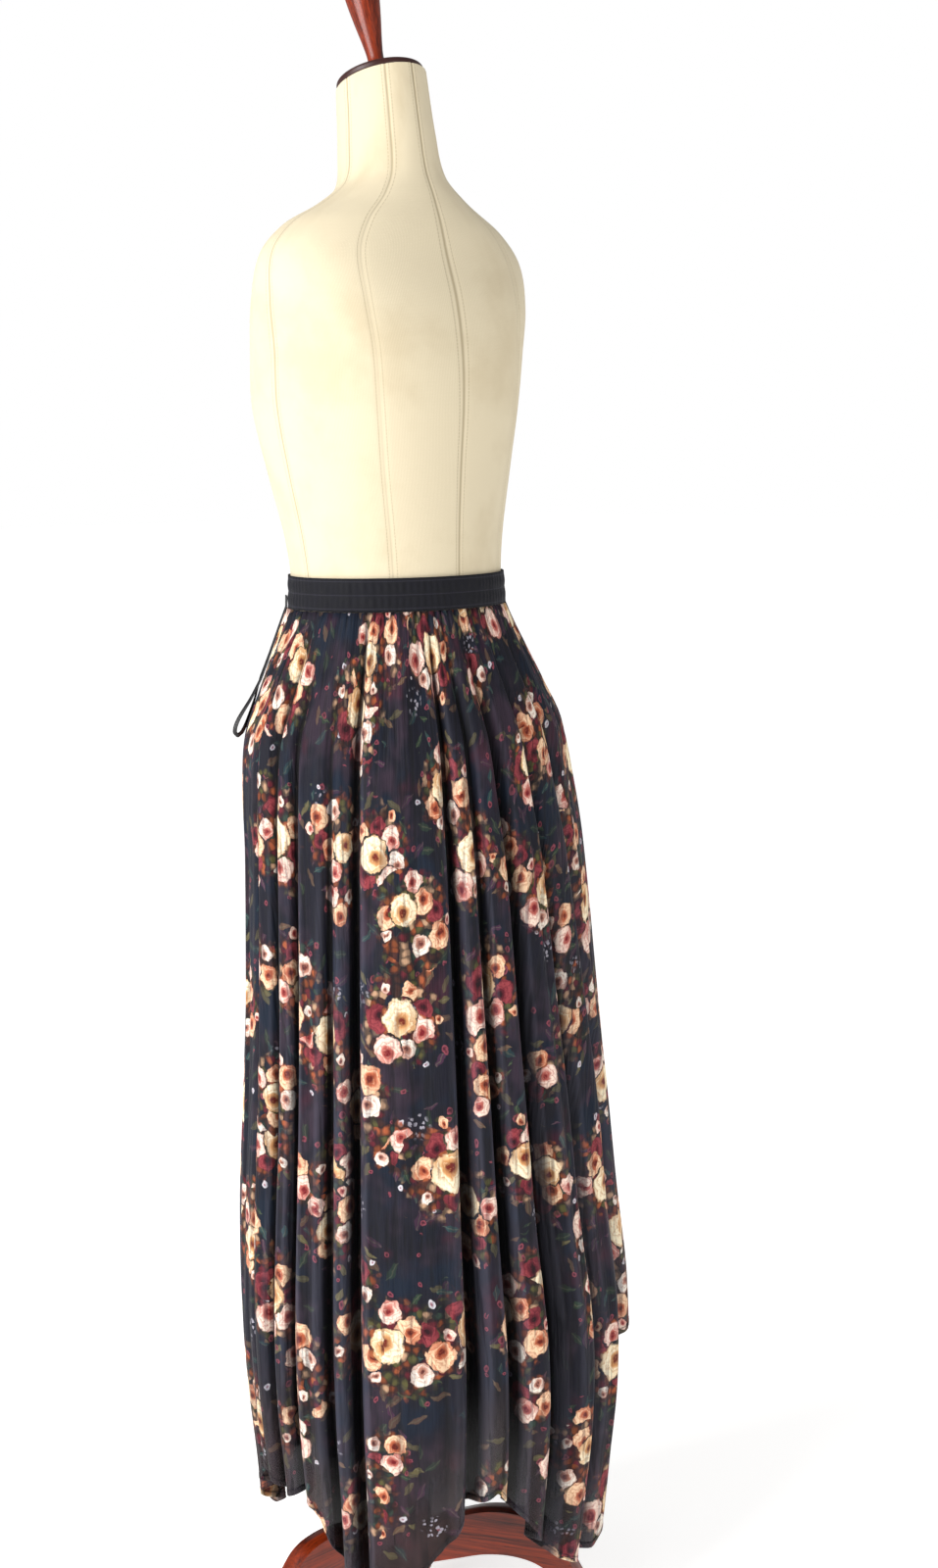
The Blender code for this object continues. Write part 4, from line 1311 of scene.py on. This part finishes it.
class SKIRT_OT_panels(Operator):
    """Makes the two printed panels with their hems, in place of the plain ones"""

    bl_idname = "skirt.panels"
    bl_label = "Printed Panels"

    def execute(self, context):
        settings = context.scene.skirt
        looks = [printed_mesh(name, settings) for name in ("printed_mesh", "printed_hem")]
        for name, (node, start, end, drawn_from) in PANELS.items():
            self.add_panel(name, node, start, end, drawn_from, looks, settings)
        return {"FINISHED"}

    def add_panel(self, name, node, start, end, drawn_from, looks, settings):
        """A panel from its hem up to the waistband, and the turned hem on its edge."""
        ruler = ClothRuler(start, end, drawn_from)
        print_look, hem_look = looks
        slip = PRINT_SLIP if start < 0.0 else 0.0  # the two panels were cut from different places
        columns, rows, top = settings.columns, settings.rows, WAIST_HEIGHT - GAP

        def azimuth_at(u):
            return start + (end - start) * round(u * columns) / columns

        def height_at(u, v):
            return top + (hem_height(azimuth_at(u)) - top) * (1.0 - round(v * rows) / rows)

        hollows = [
            [drawn_in(azimuth_at(i / columns), height_at(i / columns, j / rows)) for i in range(columns + 1)]
            for j in range(rows + 1)
        ]

        def place(u, v):
            point = cloth_point(azimuth_at(u), height_at(u, v))
            if u in (0.0, 1.0):
                point += direction(azimuth_at(u) + (90.0 if u == 0.0 else -90.0)) * GAP / 2.0
            return point

        def printed_at(u, height):
            return ruler.across(azimuth_at(u), height) + slip, WAIST_HEIGHT - height + 1.3 * slip

        def on_print(u, v):
            return printed_at(u, height_at(u, v))

        # Height above the hem, and how far the folds draw the cloth in, for the painted shade in the folds.
        def above_hem(u, v):
            height = height_at(u, v)
            return height - hem_height(azimuth_at(u)), drawn_in(azimuth_at(u), height)

        # How much deeper than its neighbours the cloth lies: painted shade where deeper, painted highlight
        # where it stands out.
        def cavity(u, v):
            i, row = round(u * columns), hollows[round(v * rows)]
            before, after = row[max(i - CREASE_REACH, 0)], row[min(i + CREASE_REACH, columns)]
            return row[i] - (before + after) / 2.0, 0.0

        layers = (("Cloth", on_print), ("Hem", above_hem), ("Creases", cavity))
        bm = mapped_grid(columns, rows, place, layers)
        panel = add_piece(name, bm, print_look, (node,))
        thicken(panel, settings.cloth_thickness)

        def hem_point(u, v):
            low = hem_height(azimuth_at(u))
            height = low - HEM_DROP + (settings.hem_height + HEM_DROP) * v
            bulge = 0.0003 + 0.0002 * math.sin(math.pi * v)
            return cloth_point(azimuth_at(u), height, bulge)

        def hem_print(u, v):
            return printed_at(u, hem_height(azimuth_at(u)) + settings.hem_height * v)

        # Height within the hem, and how far the folds draw in its edge, for the painted shade in the folds.
        def in_hem(u, v):
            return settings.hem_height * v, hollows[0][round(u * columns)]

        def hem_cavity(u, v):
            return cavity(u, 0.0)

        layers = (("Cloth", hem_print), ("Hem", in_hem), ("Creases", hem_cavity))
        bm = mapped_grid(columns, rows=3, place=hem_point, layers=layers)
        hem = add_piece(node + "_hem", bm, hem_look)
        thicken(hem, settings.cloth_thickness + HEM_EXTRA_THICKNESS)
        lowest = min(hem_height(azimuth_at(n / HEM_SAMPLES)) for n in range(HEM_SAMPLES + 1))


class SKIRT_OT_side_seams(Operator):
    """Makes the seam allowances that lie inside the two side seams"""

    bl_idname = "skirt.side_seams"
    bl_label = "Side Seams"

    def execute(self, context):
        settings = context.scene.skirt
        look = stitched_cloth("seam_allowance", settings.ground, settings.thread, SEAM_STITCH_ROWS, settings)
        for name, azimuth in SIDE_SEAMS.items():
            self.add_seam(name, azimuth, look, settings)
        return {"FINISHED"}

    def add_seam(self, name, azimuth, look, settings):
        """A doubled strip that stands inward from the seam, pressed flatter where the form is near."""
        low, top = hem_height(azimuth) + 0.002, WAIST_HEIGHT - 0.004

        def room(height):
            half_width, half_depth, set_back, *_ = blend(FORM_SECTIONS, height)
            form = ellipse_radius(azimuth, half_width, half_depth, set_back)
            return max(cloth_radius(azimuth, height) - form - SEAM_CLEARANCE, 0.0002)

        def place(u, v):
            height = low + (top - low) * u
            lean = 14.0 * v * math.sin(height * 9.0)
            inward = SEAM_DEPTH * v * (0.9 + 0.1 * math.sin(height * 60.0))
            behind = SEAM_INSET + min(inward * 0.85, room(height) * v)
            return cloth_point(azimuth + lean * 0.12, height, -behind)

        def measure(u, v):
            return (top - low) * u, SEAM_DEPTH * v

        bm = mapped_grid(columns=140, rows=3, place=place, layers=(("Cloth", measure),))
        seam = add_piece(name, bm, look)
        thicken(seam, settings.cloth_thickness * 2.0, 0.0)


class SKIRT_OT_waistband(Operator):
    """Makes the elastic waistband with its puckers and stitching"""

    bl_idname = "skirt.waistband"
    bl_label = "Waistband"

    def execute(self, context):
        settings = context.scene.skirt
        look = stitched_cloth("puckered_casing", settings.band, settings.thread, BAND_STITCH_ROWS, settings)
        outer = BAND_CLEARANCE + BAND_THICKNESS

        def place(u, v):
            azimuth = 360.0 * u
            angle = math.radians(azimuth)
            up = BAND_HEIGHT * v
            row = (WAIST_HEIGHT + up, *blend(FORM_SECTIONS, WAIST_HEIGHT + up))
            drift = 1.2 * math.sin(7 * angle) + 0.9 * math.sin(12 * angle + 2.0)
            pucker = 0.5 + 0.5 * math.cos(96 * angle + drift + 1.6 * math.sin(9 * angle) * v)
            broad = 0.5 + 0.5 * math.cos(28 * angle)
            between_rows = min(abs(up - row_up) for row_up in BAND_STITCH_ROWS) / 0.007
            swell = min(1.0, between_rows) ** 0.7
            roll = 0.0007 * (1.0 - (2.0 * v - 1.0) ** 6)
            spot = Vector((14.0 * math.sin(angle), 14.0 * math.cos(angle), 40.0 * up))
            uneven = 0.8 + 0.4 * noise.noise(spot)
            rib = BAND_PUCKER * uneven * (0.30 * broad + 0.70 * pucker * swell)
            return STAND + form_point(azimuth, row, outer - BAND_INSET + roll + rib)

        def measure(u, v):
            return BAND_CUT[0] * u, BAND_HEIGHT * v

        bm = mapped_grid(columns=576, rows=16, place=place, layers=(("Cloth", measure),), closed=True)
        band = add_piece("waistband_casing", bm, look, ("waistband",))
        thicken(band, BAND_LAYER)
        return {"FINISHED"}


class SKIRT_OT_hanger_loops(Operator):
    """Makes the two ribbon hanger loops that hang from the waistband"""

    bl_idname = "skirt.hanger_loops"
    bl_label = "Hanger Loops"

    def execute(self, context):
        look = satin_ribbon(context.scene.skirt)
        for name, (node, azimuth) in LOOPS.items():
            self.add_loop(name, node, azimuth, look)
        return {"FINISHED"}

    def add_loop(self, name, node, azimuth, look):
        """A narrow ribbon that runs down in front of the cloth, round and up again."""
        way, beside = direction(azimuth), direction(azimuth + 90.0)
        lift = BAND_CLEARANCE + BAND_THICKNESS + BAND_RIB_DEPTH + GAP + LOOP_RADIUS
        strand = []
        for i in range(LOOP_STEPS + 1):
            down = LOOP_ROUTE[-1][0] * math.sin(0.5 * math.pi * i / LOOP_STEPS)
            half_spread, stand_off = blend(LOOP_ROUTE, down)
            height = LOOP_TOP - down
            half_width, half_depth, set_back, *_ = blend(FORM_SECTIONS, height)
            on_band = ellipse_radius(azimuth, half_width + lift, half_depth + lift, set_back)
            on_cloth = skirt_ridge_radius(azimuth, height) + GAP + LOOP_RADIUS + stand_off
            turned_out = 1.25 * max(0.0, (down - LOOP_TURNS_FROM) / LOOP_TURNS_WITHIN)
            spread = (beside * math.cos(turned_out) + way * math.sin(turned_out)) * half_spread
            strand.append((way * max(on_band, on_cloth) + Vector((0.0, 0.0, height)), spread))
        route = [p - a for p, a in strand] + [p + a for p, a in reversed(strand[:-1])]
        lengths = [0.0]
        for here, there in zip(route, route[1:]):
            lengths.append(lengths[-1] + (there - here).length)
        last = len(route) - 1

        def place(u, v):
            n = round(u * last)
            along = (route[min(n + 1, last)] - route[max(n - 1, 0)]).normalized()
            twist = 0.25 + 0.90 * math.sin(math.pi * u) ** 4
            edge = beside * math.cos(twist) + along.cross(beside) * math.sin(twist)
            return STAND + route[n] + edge * (v - 0.5) * LOOP_WIDTH

        def measure(u, v):
            return (v - 0.5) * LOOP_WIDTH, lengths[round(u * last)]

        bm = mapped_grid(last, rows=4, place=place, layers=(("Cloth", measure),))
        ribbon = add_piece(name, bm, look, (node,))
        thicken(ribbon, LOOP_THICKNESS, 0.0)


class FORM_OT_cover(Operator):
    """Makes the form's smooth jersey cover with its sewn seams"""

    bl_idname = "form.cover"
    bl_label = "Form Cover"

    def execute(self, context):
        columns, steps = 240, 8
        rows = (len(FORM_SECTIONS) - 1) * steps

        def height_at(v):
            lower, step = divmod(round(v * rows), steps)
            height = FORM_SECTIONS[lower][0]
            if step:
                height += (FORM_SECTIONS[lower + 1][0] - height) * step / steps
            return height

        def place(u, v):
            azimuth, height = 360.0 * u, height_at(v)
            off = min(abs(degrees_between(azimuth, seam)) for seam in COVER_SEAMS)
            groove = COVER_SEAM_DEPTH * math.exp(-((off / 0.9) ** 2))
            edge = COVER_TUCK * max(0.0, 1.0 - (height - FORM_SECTIONS[0][0]) / COVER_TUCK_HEIGHT) ** 2
            row = (height, *blend(FORM_SECTIONS, height))
            return STAND + form_point(azimuth, row, -COVER_INSET - groove - edge)

        def measure(u, v):
            return u * COVER_ROUND, height_at(v)

        def from_seam(u, v):
            height = height_at(v)
            half_width, half_depth, *_ = blend(FORM_SECTIONS, height)
            off = min(abs(degrees_between(360.0 * u, seam)) for seam in COVER_SEAMS)
            return math.radians(off) * (half_width + half_depth) / 2.0, 0.0

        bm = mapped_grid(columns, rows, place, (("Cloth", measure), ("Seams", from_seam)), closed=True)
        bmesh.ops.holes_fill(bm, edges=[e for e in bm.edges if e.is_boundary], sides=0)
        bmesh.ops.recalc_face_normals(bm, faces=bm.faces)
        look = knitted_cover(context.scene.stand)
        add_piece("form_cover", bm, look, ("form_torso",), sharp_past=50.0)
        return {"FINISHED"}


class FORM_OT_cap_and_finial(Operator):
    """Makes the neck's painted cap and the turned finial on it"""

    bl_idname = "form.cap_and_finial"
    bl_label = "Cap and Finial"

    def execute(self, context):
        settings = context.scene.stand
        neck = FORM_SECTIONS[-1]
        foot = STAND + Vector((0.0, neck[3], neck[0]))
        lean = Matrix.Rotation(NECK_LEAN, 4, "X")
        up = lean @ Vector((0.0, 0.0, 1.0))
        cap = turned(rounded(CAP_PROFILE, steps=3), steps=96)
        bmesh.ops.transform(cap, matrix=Matrix.Translation(foot + up * GAP) @ lean, verts=cap.verts)
        add_piece("painted_cap", cap, cap_paint(settings), ("neck_cap",), sharp_past=50.0)
        finial = turned(rounded(FINIAL_PROFILE, steps=6), steps=72)
        store_grain(finial)
        seat = Matrix.Translation(foot + up * (2.0 * GAP + CAP_HEIGHT))
        bmesh.ops.transform(finial, matrix=seat @ lean, verts=finial.verts)
        look = stained_wood("finial_wood", settings)
        add_piece("turned_finial", finial, look, ("finial",), sharp_past=50.0)
        return {"FINISHED"}


class STAND_OT_pole_and_hub(Operator):
    """Makes the pole and the turned hub that holds the legs"""

    bl_idname = "stand.pole_and_hub"
    bl_label = "Pole and Hub"

    def execute(self, context):
        look = stained_wood("stand_wood", context.scene.stand)
        hub = turned(rounded(HUB_PROFILE, steps=5), steps=72)
        bmesh.ops.translate(hub, verts=hub.verts, vec=(0.0, 0.0, HUB_BOTTOM))
        store_grain(hub)
        bmesh.ops.translate(hub, verts=hub.verts, vec=STAND)
        add_piece("turned_hub", hub, look, ("base_hub",), sharp_past=45.0)

        pole_foot = HUB_BOTTOM + HUB_PROFILE[0][1] + GAP
        pole_top = FORM_SECTIONS[0][0] - GAP
        pole = bmesh.new()
        bmesh.ops.create_cone(
            pole, cap_ends=True, segments=64, radius1=POLE_RADIUS, radius2=POLE_RADIUS,
            depth=pole_top - pole_foot,
        )
        rims = [e for e in pole.edges if abs(e.verts[0].co.z - e.verts[1].co.z) < 0.001]
        bmesh.ops.bevel(
            pole, geom=rims, offset=POLE_EDGE, offset_type="OFFSET", segments=2, profile=0.5, affect="EDGES",
            material=-1,
        )
        bmesh.ops.translate(pole, verts=pole.verts, vec=(0.0, 0.0, (pole_top + pole_foot) / 2.0))
        store_grain(pole)
        bmesh.ops.translate(pole, verts=pole.verts, vec=STAND)
        add_piece("stand_pole", pole, look, ("pole",), sharp_past=50.0)
        return {"FINISHED"}


class STAND_OT_legs(Operator):
    """Makes the three carved legs, with their edges rounded"""

    bl_idname = "stand.legs"
    bl_label = "Carved Legs"

    def execute(self, context):
        look = stained_wood("leg_wood", context.scene.stand)
        for name, (node, azimuth) in LEGS.items():
            self.add_leg(name, node, azimuth, look)
        return {"FINISHED"}

    def add_leg(self, name, node, azimuth, look):
        """A leg that rises from the hub, arches over and ends in a flat foot."""
        reaches = [row[0] for row in LEG_PROFILE]
        steps = 8
        stops = [
            low + (high - low) * step / steps
            for low, high in zip(reaches, reaches[1:])
            for step in range(steps)
        ] + reaches[-1:]

        def place(u, v):
            reach = stops[round(v * (len(stops) - 1))]
            top, bottom = blend(LEG_PROFILE, reach)
            bottom = max(bottom, 0.0)
            tall, wide = (top - bottom) / 2.0, LEG_THICKNESS / 2.0
            round_off = min(LEG_CORNER, 0.9 * tall)
            angle = 2.0 * math.pi * u
            across, up = math.cos(angle), math.sin(angle)
            reach_out = max(abs(across), abs(up))
            across, up = across / reach_out, up / reach_out
            y, z = across * (wide - round_off), up * (tall - round_off)
            way = Vector((math.cos(angle), math.sin(angle)))
            way = Vector([math.copysign(abs(part) ** 0.6, part) for part in way]).normalized()
            return Vector((reach, y + way.x * round_off, (top + bottom) / 2.0 + z + way.y * round_off))

        bm = mapped_grid(columns=48, rows=len(stops) - 1, place=place, closed=True)
        bmesh.ops.holes_fill(bm, edges=[e for e in bm.edges if e.is_boundary], sides=0)
        bmesh.ops.recalc_face_normals(bm, faces=bm.faces)
        toe = [e for e in bm.edges if min(v.co.x for v in e.verts) > reaches[-1] - 0.00001]
        bmesh.ops.bevel(
            bm, geom=toe, offset=TOE_EDGE, offset_type="OFFSET", segments=3, profile=0.5, affect="EDGES",
            clamp_overlap=True, material=-1,
        )
        store_grain(bm, lambda co: (co.x + 0.5 * co.z, co.y, co.z + azimuth))
        turn = Matrix.Rotation(math.radians(azimuth - 90.0), 4, "Z")
        bmesh.ops.transform(bm, matrix=Matrix.Translation(STAND) @ turn, verts=bm.verts)
        add_piece(name, bm, look, (node,), sharp_past=60.0)


class STAGE_OT_studio(Operator):
    """Makes the floor, the soft studio light and the camera"""

    bl_idname = "stage.studio"
    bl_label = "Studio"

    def execute(self, context):
        settings = context.scene.studio
        away, right = -direction(CAMERA_AZIMUTH), direction(CAMERA_AZIMUTH + 90.0)
        self.add_camera(settings, away, right)
        self.add_floor(settings)
        middle = STAND + Vector((0.0, 0.0, AIM_HEIGHT))
        for name, (near, beside, up), size, power in (
            ("key_light", KEY_PLACE, KEY_SIZE, settings.key_power),
            ("fill_light", FILL_PLACE, FILL_SIZE, settings.fill_power),
        ):
            place = STAND - away * near + right * beside + Vector((0.0, 0.0, up))
            self.add_light(name, place, middle, size, power)
        world = bpy.data.worlds.new("studio_surround")
        world.use_nodes = True
        tree = world.node_tree
        background = tree.nodes["Background"]
        background.inputs["Color"].default_value = (1.0, 1.0, 1.0, 1.0)
        seen = tree.nodes.new("ShaderNodeLightPath").outputs["Is Camera Ray"]
        strength = tree.nodes.new("ShaderNodeMapRange")
        strength.inputs["To Min"].default_value = settings.sky
        strength.inputs["To Max"].default_value = 1.0
        tree.links.new(seen, strength.inputs["Value"])
        tree.links.new(strength.outputs["Result"], background.inputs["Strength"])
        context.scene.world = world
        context.scene.view_settings.view_transform = "Standard"
        return {"FINISHED"}

    def add_camera(self, settings, away, right):
        """The camera at the photograph's angle, tilted down and slightly turned."""
        yaw, tilt, roll = (math.radians(angle) for angle in (CAMERA_YAW, CAMERA_TILT, CAMERA_ROLL))
        up = Vector((0.0, 0.0, 1.0))
        level = away * math.cos(yaw) + right * math.sin(yaw)
        side = right * math.cos(yaw) - away * math.sin(yaw)
        ahead = level * math.cos(tilt) - up * math.sin(tilt)
        top = up * math.cos(tilt) + level * math.sin(tilt)
        rolled_side = side * math.cos(roll) + top * math.sin(roll)
        rolled_top = top * math.cos(roll) - side * math.sin(roll)
        data = bpy.data.cameras.new("photograph_camera")
        data.lens = settings.lens
        data.sensor_width = 36.0
        data.sensor_fit = "AUTO"
        data.clip_end = 200.0
        place = STAND - away * CAMERA_DISTANCE + Vector((0.0, 0.0, CAMERA_HEIGHT))
        turn = Matrix((rolled_side, rolled_top, -ahead)).transposed().to_4x4()
        bpy.context.scene.camera = link("photograph_camera", data, Matrix.Translation(place) @ turn)

    def add_floor(self, settings):
        """A wide floor under the feet."""
        bm = bmesh.new()
        bmesh.ops.create_grid(bm, x_segments=8, y_segments=8, size=FLOOR_REACH)
        floor = link("studio_floor", as_mesh("studio_floor", bm, studio_floor(settings)))
        floor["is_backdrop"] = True

    def add_light(self, name, place, aim, size, power):
        """A large square light that faces a point."""
        data = bpy.data.lights.new(name, "AREA")
        data.shape = "SQUARE"
        data.size = size
        data.energy = power
        turn = (aim - place).to_track_quat("-Z", "Y").to_matrix().to_4x4()
        link(name, data, Matrix.Translation(place) @ turn)


class VIEW3D_PT_skirt(Panel):
    """Lists the sizes and colours, and a button for each group of pieces"""

    bl_label = "Handkerchief Hem Skirt"
    bl_idname = "VIEW3D_PT_skirt"
    bl_space_type = "VIEW_3D"
    bl_region_type = "UI"
    bl_category = "Skirt"

    def draw(self, context):
        for title, settings in (
            ("Skirt", context.scene.skirt),
            ("Form and Stand", context.scene.stand),
            ("Studio", context.scene.studio),
        ):
            box = self.layout.box()
            box.label(text=title)
            for key in settings.__annotations__:
                box.prop(settings, key)
        for operator in OPERATORS:
            self.layout.operator(operator.bl_idname)


SETTINGS = (SkirtSettings, StandSettings, StageSettings)
OPERATORS = (
    STAGE_OT_studio,
    FORM_OT_cover,
    FORM_OT_cap_and_finial,
    STAND_OT_pole_and_hub,
    STAND_OT_legs,
    SKIRT_OT_hanger_loops,
    SKIRT_OT_waistband,
    SKIRT_OT_side_seams,
    SKIRT_OT_panels,
)


def register():
    """Adds the settings, operators and panel to Blender."""
    for item in (*SETTINGS, *OPERATORS, VIEW3D_PT_skirt):
        bpy.utils.register_class(item)
    bpy.types.Scene.skirt = PointerProperty(type=SkirtSettings)
    bpy.types.Scene.stand = PointerProperty(type=StandSettings)
    bpy.types.Scene.studio = PointerProperty(type=StageSettings)


def unregister():
    """Removes them again."""
    del bpy.types.Scene.skirt, bpy.types.Scene.stand, bpy.types.Scene.studio
    for item in reversed((*SETTINGS, *OPERATORS, VIEW3D_PT_skirt)):
        bpy.utils.unregister_class(item)


def write_sizes():
    """Sets the CAD model's box and the dressed model's box side by side, in a dict that is not kept."""
    boxes = {"cad": CAD_BOUNDS, "visual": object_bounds()}
    {name: [list(corner) for corner in box] for name, box in boxes.items()}


def main():
    """Dresses the model, with the stage first and the panels last."""
    register()
    bpy.ops.stage.studio()
    bpy.ops.form.cover()
    bpy.ops.form.cap_and_finial()
    bpy.ops.stand.pole_and_hub()
    bpy.ops.stand.legs()
    bpy.ops.skirt.hanger_loops()
    bpy.ops.skirt.waistband()
    bpy.ops.skirt.side_seams()
    bpy.ops.skirt.panels()
    write_sizes()


if __name__ == "__main__":
    main()
